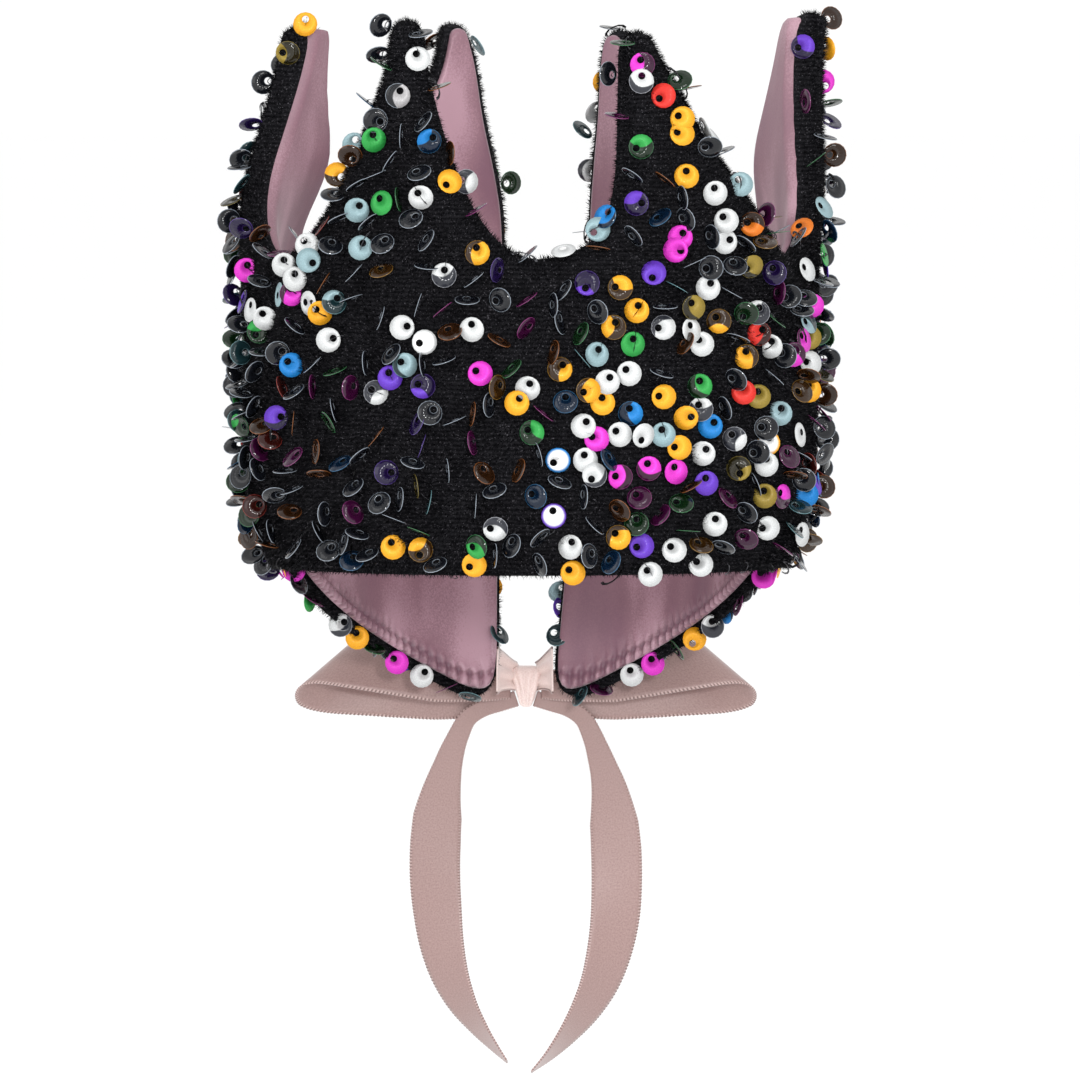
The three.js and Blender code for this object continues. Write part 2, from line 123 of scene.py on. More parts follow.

# The sequins that catch the eye in front, as they are seen from the camera: how far across and up each is
# in millimetres where its line of sight crosses FRONT_PLANE, its foil, and how much of its face is painted
# lit:
# 0 none, 0.5 part with painted shade over the rest, 1 all, and 2 all with a painted white glint at its middle
FRONT_PLANE = -80
FRONT_SEQUINS = (
    (-36, 104.5, "green", 1), (-40.5, 103, "aqua", 1), (-41, 100.5, "copper", 0), (-24.5, 104, "blue", 0.5),
    (-20, 101, "copper", 0), (-44, 95.5, "gold", 0.5), (-45.5, 91, "clear", 0), (-25.5, 91, "silver", 1),
    (-30.5, 90.5, "green", 0), (-16.5, 94, "silver", 0.5), (-40, 88, "aqua", 1), (-39.5, 79, "aqua", 1),
    (-51.5, 79.5, "silver", 1), (-46, 79.5, "clear", 0), (-51, 76, "aqua", 1), (-56.5, 74.5, "silver", 1),
    (-54.5, 71.5, "silver", 1), (-34, 80, "clear", 0), (-12.5, 77.5, "gold", 0.5),
    (-20, 72.5, "silver", 0.5), (-24, 74.5, "clear", 0), (-55.5, 68, "magenta", 0.5),
    (-47.5, 70.5, "copper", 0), (-45.5, 66, "aqua", 0.5), (-48.5, 63.5, "gold", 1),
    (-61.5, 62, "silver", 1), (-46.5, 57, "silver", 1), (-63, 59, "green", 0.5), (-29.5, 60, "silver", 1),
    (-24.5, 56.5, "silver", 2), (-13.5, 59.5, "silver", 1), (-29, 51, "aqua", 0.5),
    (-32.5, 48, "violet", 1), (-25, 46, "violet", 0.5), (-11.5, 49, "magenta", 1), (-55.5, 51, "blue", 1),
    (-45, 49.5, "green", 0), (-36, 44.5, "silver", 0.5), (-3, 42, "gold", 1), (-0.5, 45.5, "silver", 1),
    (-59, 38.5, "violet", 0.5), (-66, 73.5, "magenta", 1), (-61, 98.5, "red", 1),
    (13.5, 70.5, "violet", 0.5), (29, 73, "violet", 1), (34, 69.5, "aqua", 0), (21, 69.5, "gold", 0.5),
    (25, 64, "gold", 1), (19.5, 60, "gold", 0.5), (24, 56, "green", 1), (31, 60, "silver", 0.5),
    (41.5, 69.5, "silver", 1), (40, 56, "silver", 1), (5.5, 54, "copper", 0), (7, 50, "gold", 0.5),
    (23, 49, "silver", 1), (18, 47, "silver", 1), (13.5, 45, "gold", 0.5), (17, 42, "gold", 1),
    (31, 43.5, "gold", 1), (39.5, 46, "green", 0.5), (36.5, 38.5, "gold", 1), (12.5, 36.5, "silver", 1),
    (15.5, 33.5, "magenta", 1), (21, 34.5, "silver", 1), (23.5, 39.5, "blue", 0.5), (31, 34.5, "aqua", 1),
    (34.5, 31.5, "gold", 1), (6.5, 28.5, "blue", 2), (5.5, 15.5, "violet", 2), (15, 25, "silver", 0.5),
    (21, 24.5, "magenta", 0.5), (27.5, 26.5, "magenta", 0.5), (0.5, 35, "green", 0.5),
    (-13.5, 32.5, "magenta", 0), (20.5, 10.5, "gold", 0.5), (26, 8.5, "violet", 1), (9.5, 8, "silver", 1),
    (-8, 12.5, "silver", 0.5), (15, 13, "clear", 0), (53, 63.5, "silver", 0.5), (44, 61.5, "gold", 0.5),
    (65, 65, "magenta", 1), (53.5, 58.5, "red", 0.5), (56, 55.5, "silver", 1), (65, 57.5, "olive", 1),
    (50.5, 53, "gold", 0.5), (61.5, 53.5, "magenta", 0.5), (65, 51.5, "silver", 1), (49.5, 44.5, "red", 1),
    (53, 43.5, "olive", 1), (65, 45, "gold", 1), (58, 39.5, "aqua", 1), (40, 40.5, "silver", 0.5),
    (42, 36.5, "blue", 1), (47.5, 33.5, "silver", 0.5), (55.5, 32.5, "gold", 2), (40.5, 30, "silver", 1),
    (48.5, 26.5, "olive", 0.5), (54.5, 27.5, "silver", 1), (41, 23, "violet", 1), (46, 19.5, "magenta", 0),
    (54.5, 20, "olive", 1), (64, 20.5, "blue", 1), (43, 13.5, "silver", 1), (55.5, 12.5, "silver", 1),
    (33.5, 7.5, "silver", 1), (10, 2.5, "gold", 1), (40, 4, "silver", 1), (28, 1, "silver", 1),
    (25.5, 19.5, "magenta", 0), (30.5, 15.5, "magenta", 0), (-32, 8, "gold", 1), (-25.5, 7.5, "gold", 0.5),
    (-13, 4, "gold", 1), (26.5, 122.5, "magenta", 0.5), (26.5, 118.5, "silver", 0.5), (31, 115, "red", 1),
    (35.5, 109.5, "gold", 1), (35.5, 106, "gold", 1), (20.5, 102, "green", 1), (26.5, 103, "green", 0.5),
    (36.5, 96, "gold", 1), (19, 96.5, "violet", 0.5), (19, 91, "blue", 1), (25.5, 89.5, "violet", 0.5),
    (17, 82.5, "aqua", 1), (43, 92, "silver", 1), (45.5, 85.5, "silver", 1), (51.5, 84.5, "copper", 0.5),
    (49, 93.5, "aqua", 1), (57, 85, "green", 0.5), (35, 81.5, "magenta", 1), (34, 78.5, "magenta", 1),
    (45.5, 80.5, "silver", 1), (65, 126.5, "violet", 0.5), (72, 118.5, "magenta", 1),
    (65.5, 113, "magenta", 0), (62, 104, "silver", 0.5), (-28, 123.5, "silver", 1),
    (-31, 115, "clear", 0.5), (-54, 131, "gold", 1), (-57, 125, "olive", 0.5), (-35.5, 34, "copper", 0),
    (-23.5, 18.5, "aqua", 0), (-33.5, 25.5, "violet", 0), (-41, 22, "clear", 0), (-20, 52, "clear", 0),
    (-62.5, 31, "magenta", 0), (7, 61, "clear", 0), (-7, 66.5, "clear", 0), (-14.5, 66.5, "clear", 0),
    (-2.5, 26, "copper", 0), (-19, 26, "clear", 0),
)

# Those that hang from the wall's rear rim, whose line of sight crosses REAR_PLANE there: pairs that lie
# as far to the left as to the right of REAR_MIDDLE, and two by the bow that don't
REAR_PLANE = 80
REAR_MIDDLE = -1.4
REAR_SEQUINS = tuple(
    (REAR_MIDDLE + side * out, up, name, lit)
    for out, up, name, lit in (
        (65.7, -7, "magenta", 1), (62.2, -10.3, "clear", 0), (57.9, -16.4, "magenta", 0),
        (49.2, -20.4, "silver", 0.5), (44.9, -25, "gold", 1), (42.1, -29.1, "green", 0),
        (34, -30.1, "magenta", 1), (28.7, -34.6, "silver", 1), (21.6, -38.2, "magenta", 0),
        (14, -40, "aqua", 0),
    )
    for side in (-1, 1)
) + ((-7.8, -20.4, "aqua", 0), (4.9, -20.4, "aqua", 0))


def linear(hex_colour):
    """An sRGB hex colour as linear RGBA."""
    shares = [int(hex_colour[i : i + 2], 16) / 255 for i in (0, 2, 4)]
    return [s / 12.92 if s <= 0.04045 else ((s + 0.055) / 1.055) ** 2.4 for s in shares] + [1]


def add_node(tree, kind, inputs=None, stops=None, **settings):
    """Adds a node with its settings, the stops of its ramp, and its inputs' values or links. An input that
    is given a whole node is linked to the one output that the node has in use."""
    node = tree.nodes.new(kind)
    for name, value in settings.items():
        setattr(node, name, value)
    for name, value in (inputs or {}).items():
        if isinstance(value, bpy.types.Node):
            value = next(socket for socket in value.outputs if socket.enabled)
        if isinstance(value, bpy.types.NodeSocket):
            tree.links.new(value, node.inputs[name])
        else:
            node.inputs[name].default_value = value
    if stops:
        ramp = node.color_ramp
        while len(ramp.elements) < len(stops):
            ramp.elements.new(1)
        for element, (place, colour) in zip(ramp.elements, stops):
            element.position = place
            element.color = colour
    return node


def new_material(name, **values):
    """A material with its tree and its shader, the shader's plain sockets set."""
    material = bpy.data.materials.new(name)
    material.use_nodes = True
    shader = material.node_tree.nodes["Principled BSDF"]
    for socket, value in values.items():
        shader.inputs[socket.replace("_", " ").title().replace("Ior", "IOR")].default_value = value
    return material, material.node_tree, shader


def smooth(low, high, value):
    """0 below low, 1 above high and an eased rise between them."""
    share = np.clip((value - low) / (high - low), 0, 1)
    return share * share * (3 - 2 * share)


def curve_through(points, count):
    """count places evenly along a Catmull-Rom curve through the points."""
    points = np.asarray(points, float)
    ends = np.vstack([2 * points[0] - points[1], points, 2 * points[-1] - points[-2]])
    spots = np.linspace(0, len(points) - 1, count * 4)
    i = np.minimum(spots.astype(int), len(points) - 2)
    t = (spots - i)[:, None]
    a, b, c, d = (ends[i + k] for k in range(4))
    fine = 0.5 * (2 * b + (c - a) * t + (2 * a - 5 * b + 4 * c - d) * t**2 + (3 * b - a - 3 * c + d) * t**3)
    walked = np.append(0, np.cumsum(np.linalg.norm(np.diff(fine, axis=0), axis=1)))
    shares = np.interp(np.linspace(0, walked[-1], count), walked, np.linspace(0, 1, len(fine)))
    return along_table(fine, shares)


def along_table(rows, shares):
    """Rows of a table read at shares of its length."""
    rows = np.asarray(rows, float)
    places = np.linspace(0, 1, len(rows))
    if rows.ndim == 1:
        return np.interp(shares, places, rows)
    return np.stack([np.interp(shares, places, column) for column in rows.T], axis=1)


def unit(vectors):
    """Rows of vectors made one long."""
    return vectors / np.maximum(np.linalg.norm(vectors, axis=-1, keepdims=True), 1e-12)


def cad_mesh(node):
    """A copy of a node's solid with its corners merged and its triangles paired into quads."""
    bm = bmesh.new()
    bm.from_mesh(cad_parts[node].data)
    bmesh.ops.remove_doubles(bm, verts=bm.verts, dist=0.02 * MM)
    bmesh.ops.join_triangles(
        bm, faces=bm.faces, angle_face_threshold=math.radians(50), angle_shape_threshold=math.pi
    )
    return bm


def finish_piece(name, bm, material, replaces=()):
    """Makes the piece's object from its bmesh, with its finish, on the crown's body."""
    mesh = bpy.data.meshes.new(name)
    bm.to_mesh(mesh)
    bm.free()
    return finish_mesh(name, mesh, material, replaces)


def finish_mesh(name, mesh, material, replaces=()):
    """Makes the piece's object from its mesh, smooth shaded and with its finish, on the crown's body."""
    mesh.materials.append(material)
    mesh.shade_smooth()
    piece = bpy.data.objects.new(name, mesh)
    bpy.context.scene.collection.objects.link(piece)
    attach(piece, "root")
    if replaces:
        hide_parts(*replaces)
    return piece


def subdivided(bm, levels):
    """The bmesh after that many rounds of Catmull-Clark."""
    mesh = bpy.data.meshes.new("rounding")
    bm.to_mesh(mesh)
    bm.free()
    thing = bpy.data.objects.new("rounding", mesh)
    bpy.context.scene.collection.objects.link(thing)
    rounding = thing.modifiers.new("rounding", "SUBSURF")
    rounding.levels = rounding.render_levels = levels
    done = bmesh.new()
    done.from_mesh(thing.evaluated_get(bpy.context.evaluated_depsgraph_get()).to_mesh())
    bpy.data.objects.remove(thing)
    bpy.data.meshes.remove(mesh)
    return done


class Skin:
    """The triangles of a mesh that show from outside the head, to strew things on."""

    def __init__(self, mesh, least_facing, lining=None):
        mesh.calc_loop_triangles()
        corners = np.empty(len(mesh.vertices) * 3)
        mesh.vertices.foreach_get("co", corners)
        normals = np.empty(len(mesh.vertices) * 3)
        mesh.vertices.foreach_get("normal", normals)
        triangles = np.empty(len(mesh.loop_triangles) * 3, int)
        mesh.loop_triangles.foreach_get("vertices", triangles)
        triangles = triangles.reshape(-1, 3)
        self.corners = corners.reshape(-1, 3)[triangles]
        self.normals = normals.reshape(-1, 3)[triangles]
        middles = self.corners.mean(1)
        facing = (self.normals.mean(1)[:, :2] * unit(middles[:, :2] - HEAD_MIDDLE)).sum(1)
        kept = facing > least_facing
        if lining is not None:
            cloth = BVHTree.FromObject(lining, bpy.context.evaluated_depsgraph_get())
            for i in np.flatnonzero(~kept):
                kept[i] = cloth.find_nearest(Vector(middles[i]), LINING_NEAR)[0] is None
        self.corners, self.normals = self.corners[kept], self.normals[kept]
        edges = self.corners[:, 1:] - self.corners[:, :1]
        self.areas = np.linalg.norm(np.cross(edges[:, 0], edges[:, 1]), axis=1) / 2
        self.area = self.areas.sum()

    def strew(self, count, chance):
        """count random places on the skin and the way out at each."""
        chosen = chance.choice(len(self.areas), count, p=self.areas / self.area)
        a, b = chance.random((2, count))
        over = a + b > 1
        a[over], b[over] = 1 - a[over], 1 - b[over]
        shares = np.stack([1 - a - b, a, b], axis=1)[:, :, None]
        places = (self.corners[chosen] * shares).sum(1)
        return places, unit((self.normals[chosen] * shares).sum(1))


def tangents(normals):
    """The ways down and sideways over the skin at each normal."""
    down = np.array([0, 0, -1.0]) + normals * normals[:, 2:3]
    down = unit(down + 1e-4)
    return down, np.cross(normals, down)


def copies_mesh(name, template, places, turns, values):
    """One mesh of a template's copies, each with its place, its turn and its values as attributes."""
    spots = np.array([v.co for v in template.verts])
    faces = [[v.index for v in f.verts] for f in template.faces]
    uv_layer = template.loops.layers.uv.verify()
    uvs = np.array([loop[uv_layer].uv for f in template.faces for loop in f.loops])
    count = len(places)
    moved = np.einsum("nij,vj->nvi", turns, spots) + places[:, None]
    corners = np.concatenate(faces)
    sizes = np.array([len(f) for f in faces])
    mesh = bpy.data.meshes.new(name)
    mesh.vertices.add(count * len(spots))
    mesh.vertices.foreach_set("co", moved.astype(np.float32).ravel())
    mesh.loops.add(count * len(corners))
    steps = np.arange(count)[:, None]
    mesh.loops.foreach_set("vertex_index", (corners + steps * len(spots)).astype(np.int32).ravel())
    mesh.polygons.add(count * len(sizes))
    starts = np.append(0, np.cumsum(sizes)[:-1])
    mesh.polygons.foreach_set("loop_start", (starts + steps * len(corners)).astype(np.int32).ravel())
    mesh.uv_layers.new(name="UVMap").data.foreach_set("uv", np.tile(uvs.ravel(), count).astype(np.float32))
    for title, each in values.items():
        attribute = mesh.attributes.new(title, "FLOAT", "POINT")
        attribute.data.foreach_set("value", np.repeat(each, len(spots)).astype(np.float32))
    mesh.update(calc_edges=True)
    mesh.validate()
    return mesh


# Materials


def velvet_backing(look):
    """Polyester velvet's knitted back, dyed black: near-black, uneven as crushed pile is, with faint ribs
    where the pile rows lie and painted grey glints strewn over it as specks."""
    material, tree, shader = new_material(
        "velvet_knitted_dyed_black", roughness=0.9, specular_ior_level=0.08
    )
    spot = add_node(tree, "ShaderNodeTexCoord")
    ribs = add_node(
        tree, "ShaderNodeTexWave", {"Vector": spot.outputs["Object"], "Scale": ripple(look.rib_pitch),
        "Distortion": 3, "Detail": 2}, bands_direction="Z",
    )
    crush = add_node(
        tree, "ShaderNodeTexNoise", {"Vector": spot.outputs["Object"], "Scale": 1 / look.crush, "Detail": 3},
    )
    # Painted glints: specks where a fine noise runs high are painted towards the grey glint colour.
    glints = add_node(
        tree, "ShaderNodeTexNoise",
        {"Vector": spot.outputs["Object"], "Scale": 2.5 / look.crush, "Detail": 1},
    )
    painted_glint_specks = add_node(
        tree, "ShaderNodeMapRange",
        {"Value": glints.outputs["Fac"], "From Min": 0.64, "From Max": 0.76, "To Min": 0, "To Max": 0.35},
    )
    faint = add_node(tree, "ShaderNodeMath", {0: ribs.outputs["Fac"], 1: 0.03}, operation="MULTIPLY")
    shown = add_node(tree, "ShaderNodeMath", {0: faint, 1: painted_glint_specks}, operation="ADD")
    tone = add_node(
        tree, "ShaderNodeMix",
        {"Factor": shown, "A": linear(look.colour), "B": linear(look.glint_colour)},
        data_type="RGBA",
    )
    bump = add_node(
        tree, "ShaderNodeBump", {"Height": crush.outputs["Fac"], "Distance": 0.4 * MM, "Strength": 0.6},
    )
    tree.links.new(tone.outputs["Result"], shader.inputs["Base Color"])
    tree.links.new(bump.outputs["Normal"], shader.inputs["Normal"])
    return material


def ripple(pitch):
    """The Scale of a wave texture whose bands lie one pitch apart."""
    return 2 * math.pi / pitch / 20


def velvet_fibre(look):
    """Crushed polyester pile, dyed black: near-black fibres, a random few of them with a painted grey glint
    towards their tips.
    """
    material, tree, shader = new_material(
        "velvet_pile_crushed_black", roughness=0.5, specular_ior_level=0.1
    )
    tone = add_node(tree, "ShaderNodeAttribute", attribute_name="tone")
    spot = add_node(tree, "ShaderNodeUVMap", uv_map="UVMap")
    along = add_node(tree, "ShaderNodeSeparateXYZ", {"Vector": spot.outputs["UV"]})
    tip = add_node(
        tree, "ShaderNodeMapRange", {"Value": along.outputs["Y"], "From Min": 0.35, "From Max": 0.8},
    )
    # Painted glint: the fibres whose tone runs highest are painted along their tips through the faint glint
    # colour to the grey glint colour.
    turned = add_node(
        tree, "ShaderNodeMapRange", {"Value": tone.outputs["Fac"], "From Min": 0.86, "From Max": 1},
    )
    glint = add_node(
        tree, "ShaderNodeMath", {0: tip, 1: turned}, operation="MULTIPLY",
    )
    colour = add_node(
        tree, "ShaderNodeValToRGB", {"Fac": glint},
        stops=((0, linear(look.colour)), (0.3, linear(look.faint_painted_glint_colour)), (1, linear(look.glint_colour))),
    )
    tree.links.new(colour.outputs["Color"], shader.inputs["Base Color"])
    return material


def foil(name, colours, look):
    """Polyester foil, vacuum-coated, stamped into discs: a flat face painted lit, with a fine grain, where it
    catches the light, painted in shade and clear where it doesn't, and a painted highlight on a shaded face's
    cut rim and round its hole;
    some lit faces lie part in painted shade and a few take a painted white glint at the middle."""
    material, tree, shader = new_material(
        f"sequin_foil_stamped_{name}", specular_ior_level=0.35, coat_weight=0.08, coat_roughness=0.08
    )
    spot = add_node(tree, "ShaderNodeUVMap", uv_map="UVMap")
    # Masks for the disc's cut rim and for a ring round its hole, where a shaded sequin is given a painted
    # highlight.
    masks = []
    for middle, near, far in (
        ((0.5, 0.5, 0), 0.462, 0.488),
        ((0.5, 0.5 + look.hole_shift / look.diameter, 0), 0.5 * look.hole / look.diameter + 0.03,
         0.5 * look.hole / look.diameter + 0.01),
    ):
        centred = add_node(
            tree, "ShaderNodeVectorMath", {0: spot.outputs["UV"], 1: middle}, operation="SUBTRACT",
        )
        radius = add_node(tree, "ShaderNodeVectorMath", {0: centred.outputs["Vector"]}, operation="LENGTH")
        masks.append(add_node(
            tree, "ShaderNodeMapRange", {"Value": radius, "From Min": near, "From Max": far},
        ))
    ring = add_node(tree, "ShaderNodeMath", {0: masks[1], 1: 0.5}, operation="MULTIPLY")
    rims = add_node(tree, "ShaderNodeMath", {0: masks[0], 1: ring}, operation="MAXIMUM")
    lit = add_node(tree, "ShaderNodeAttribute", attribute_name="lit")
    spin = add_node(tree, "ShaderNodeAttribute", attribute_name="spin")
    edge = add_node(tree, "ShaderNodeAttribute", attribute_name="edge")
    # Painted shade: past a bent line across the disc, turned by spin and placed by edge, part of a lit face
    # is painted in shade.
    middle = add_node(
        tree, "ShaderNodeVectorMath", {0: spot.outputs["UV"], 1: (0.5, 0.5, 0)}, operation="SUBTRACT",
    )
    turned = add_node(
        tree, "ShaderNodeVectorRotate", {"Vector": middle.outputs["Vector"], "Angle": spin.outputs["Fac"]},
        rotation_type="Z_AXIS",
    )
    across = add_node(tree, "ShaderNodeSeparateXYZ", {"Vector": turned.outputs["Vector"]})
    bow = add_node(
        tree, "ShaderNodeMath", {0: across.outputs["Y"], 1: across.outputs["Y"]}, operation="MULTIPLY",
    )
    bent = add_node(
        tree, "ShaderNodeMath", {0: bow, 1: 1.2, 2: across.outputs["X"]}, operation="MULTIPLY_ADD",
    )
    past = add_node(tree, "ShaderNodeMath", {0: bent, 1: edge.outputs["Fac"]}, operation="SUBTRACT")
    shade = add_node(
        tree, "ShaderNodeMapRange", {"Value": past, "From Min": -0.02, "From Max": 0.03},
    )
    # Painted light and shade: how far a face takes its foil's painted lit colour rather than its painted
    # shade, from the lit value less the painted crescent of shade.
    painted_light = add_node(
        tree, "ShaderNodeMath", {0: lit.outputs["Fac"], 1: shade}, operation="SUBTRACT",
        use_clamp=True,
    )
    grain = add_node(tree, "ShaderNodeTexNoise", {"Vector": spot.outputs["UV"], "Scale": 22, "Detail": 3})
    fleck = add_node(
        tree, "ShaderNodeMapRange",
        {"Value": grain.outputs["Fac"], "From Min": 0.35, "From Max": 0.65, "To Min": 0.8, "To Max": 1},
    )
    share = add_node(
        tree, "ShaderNodeMath", {0: painted_light, 1: fleck}, operation="MULTIPLY",
    )
    face = add_node(
        tree, "ShaderNodeMix",
        {"Factor": share, "A": linear(colours["painted_shade"]), "B": linear(colours["painted_light"])},
        data_type="RGBA",
    )
    # Painted highlight: the cut rim and the ring round the hole take the foil's rim colour on a shaded sequin
    # and its painted lit colour on a lit one.
    cut = add_node(
        tree, "ShaderNodeMix",
        {"Factor": painted_light, "A": linear(colours["rim"]), "B": linear(colours["painted_light"])},
        data_type="RGBA",
    )
    whole = add_node(
        tree, "ShaderNodeMix",
        {"Factor": rims, "A": face, "B": cut},
        data_type="RGBA",
    )
    # Painted glint: a sequin whose lit value is 2 is painted white over its middle, inside a rim of its
    # foil's colour.
    glare = add_node(
        tree, "ShaderNodeMath", {0: lit.outputs["Fac"], 1: 1}, operation="SUBTRACT", use_clamp=True,
    )
    out_from = add_node(tree, "ShaderNodeVectorMath", {0: middle.outputs["Vector"]}, operation="LENGTH")
    core = add_node(
        tree, "ShaderNodeMapRange",
        {"Value": out_from, "From Min": 0.34, "From Max": 0.46, "To Min": 1, "To Max": 0},
    )
    painted_glint = add_node(
        tree, "ShaderNodeMath", {0: glare, 1: core}, operation="MULTIPLY",
    )
    shown = add_node(
        tree, "ShaderNodeMix",
        {"Factor": painted_glint, "A": whole, "B": linear("FFFFFF")},
        data_type="RGBA",
    )
    metal = add_node(tree, "ShaderNodeMapRange", {"Value": painted_light, "To Min": 0, "To Max": 0.25})
    gloss = add_node(tree, "ShaderNodeMapRange", {"Value": painted_light, "To Min": 0.12, "To Max": 0.5})
    tree.links.new(shown.outputs["Result"], shader.inputs["Base Color"])
    tree.links.new(metal.outputs["Result"], shader.inputs["Metallic"])
    tree.links.new(gloss.outputs["Result"], shader.inputs["Roughness"])
    return material


def thread(look):
    """Clear nylon sewing thread: thin, its random tone running from near-black to a grey painted glint
    against the black, with a hard glint.
    """
    material, tree, shader = new_material("thread_nylon_clear", roughness=0.25)
    tone = add_node(tree, "ShaderNodeAttribute", attribute_name="tone")
    # Painted glint: a random share of the thread is painted grey.
    colour = add_node(
        tree, "ShaderNodeValToRGB", {"Fac": tone.outputs["Fac"]},
        stops=((0, linear("0B0B0D")), (1, linear(look.painted_thread_glint_colour))),
    )
    tree.links.new(colour.outputs["Color"], shader.inputs["Base Color"])
    return material


def satin(look):
    """Polyester satin, woven and steamed: soft pools of painted light and shade with a fine glittering grain,
    painted lighter on the puckers' tops and darker in their hollows and along the seam.
    """
    material, tree, shader = new_material(
        "satin_woven_mauve", roughness=0.42, sheen_weight=0.2, sheen_roughness=0.35
    )
    spot = add_node(tree, "ShaderNodeTexCoord")
    stretched = add_node(
        tree, "ShaderNodeMapping", {"Vector": spot.outputs["Object"], "Scale": (52, 52, 20)},
    )
    # Painted light and shade: broad soft pools drawn from a stretched noise.
    painted_pools = add_node(
        tree, "ShaderNodeTexNoise", {"Vector": stretched.outputs["Vector"], "Scale": 1, "Detail": 2},
    )
    warp = add_node(
        tree, "ShaderNodeTexNoise",
        {"Vector": spot.outputs["Object"], "Scale": 1 / look.grain, "Detail": 2, "Roughness": 0.8},
    )
    mixed = add_node(
        tree, "ShaderNodeMath", {0: warp.outputs["Fac"], 1: 0.3, 2: painted_pools.outputs["Fac"]},
        operation="MULTIPLY_ADD",
    )
    # Painted highlight on the puckers' tops and painted shade in their hollows and along the seam, added to
    # the pools and the grain.
    painted_pucker_shading = add_node(tree, "ShaderNodeAttribute", attribute_name="painted_pucker_shading")
    grain_and_painted_shading = add_node(
        tree, "ShaderNodeMath", {0: painted_pucker_shading.outputs["Fac"], 1: 0.16, 2: mixed},
        operation="MULTIPLY_ADD",
    )
    colour = add_node(
        tree, "ShaderNodeValToRGB", {"Fac": grain_and_painted_shading},
        stops=((0.5, linear(look.shade)), (0.66, linear(look.colour)), (0.8, linear(look.light))),
    )
    bump = add_node(
        tree, "ShaderNodeBump", {"Height": warp.outputs["Fac"], "Distance": 0.06 * MM, "Strength": 0.5},
    )
    tree.links.new(colour.outputs["Color"], shader.inputs["Base Color"])
    tree.links.new(bump.outputs["Normal"], shader.inputs["Normal"])
    return material


def ribbon_weave(name, look, colour, light):
    """Single-face polyester satin ribbon, woven: a fine grain, and picots that read as dots on its edges."""
    material, tree, shader = new_material(
        f"ribbon_satin_woven_{name}", roughness=0.45, sheen_weight=0.2, sheen_roughness=0.4
    )
    spot = add_node(tree, "ShaderNodeUVMap", uv_map="UVMap")
    parts = add_node(tree, "ShaderNodeSeparateXYZ", {"Vector": spot.outputs["UV"]})
    grain = add_node(
        tree, "ShaderNodeTexNoise", {"Vector": spot.outputs["UV"], "Scale": 1 / look.grain, "Detail": 2,
                                     "Roughness": 0.8},
    )
    tone = add_node(
        tree, "ShaderNodeValToRGB", {"Fac": grain.outputs["Fac"]},
        stops=((0.35, linear(colour)), (0.65, linear(light))),
    )
    dots = add_node(
        tree, "ShaderNodeTexWave", {"Vector": spot.outputs["UV"], "Scale": ripple(look.picot_pitch)},
        bands_direction="Y",
    )
    picots = add_node(
        tree, "ShaderNodeMix",
        {"Factor": dots.outputs["Fac"], "A": linear(look.edge_colour), "B": linear(look.picot_colour)},
        data_type="RGBA",
    )
    near_edge = add_node(tree, "ShaderNodeMath", {0: parts.outputs["X"]}, operation="ABSOLUTE")
    edge = add_node(
        tree, "ShaderNodeMapRange",
        {"Value": near_edge, "From Min": 0.5 * look.width - 0.6 * MM,
         "From Max": 0.5 * look.width - 0.4 * MM},
    )
    whole = add_node(
        tree, "ShaderNodeMix",
        {"Factor": edge, "A": tone.outputs["Color"], "B": picots},
        data_type="RGBA",
    )
    bump = add_node(
        tree, "ShaderNodeBump", {"Height": grain.outputs["Fac"], "Distance": 0.05 * MM, "Strength": 0.5},
    )
    tree.links.new(whole.outputs["Result"], shader.inputs["Base Color"])
    tree.links.new(bump.outputs["Normal"], shader.inputs["Normal"])
    return material


# Pieces


def puff(bm, depth):
    """Swells the points, whose wadding makes them thicker than the band."""
    bm.normal_update()
    middle = Vector(HEAD_MIDDLE)
    for vertex in bm.verts:
        out = (vertex.co.xy - middle).normalized()
        swell = vertex.normal.xy.dot(out) * depth * float(smooth(60 * MM, 105 * MM, vertex.co.z))
        vertex.co.xy += out * swell
    bm.normal_update()


def velvet_wall(look):
    """The padded wall, drawn in by the pile's depth so that the pile's tips reach the wall's true size."""
    bm = subdivided(cad_mesh("velvet_shell"), 2)
    puff(bm, look.puff)
    for vertex in bm.verts:
        out = (vertex.co.xy - Vector(HEAD_MIDDLE)).normalized()
        outward = float(smooth(-0.1, 0.4, vertex.normal.xy.dot(out)))
        vertex.co -= vertex.normal * outward * look.pile_sink
    wall = finish_piece("velvet_wall", bm, velvet_backing(look), ("velvet_shell",))
    return wall


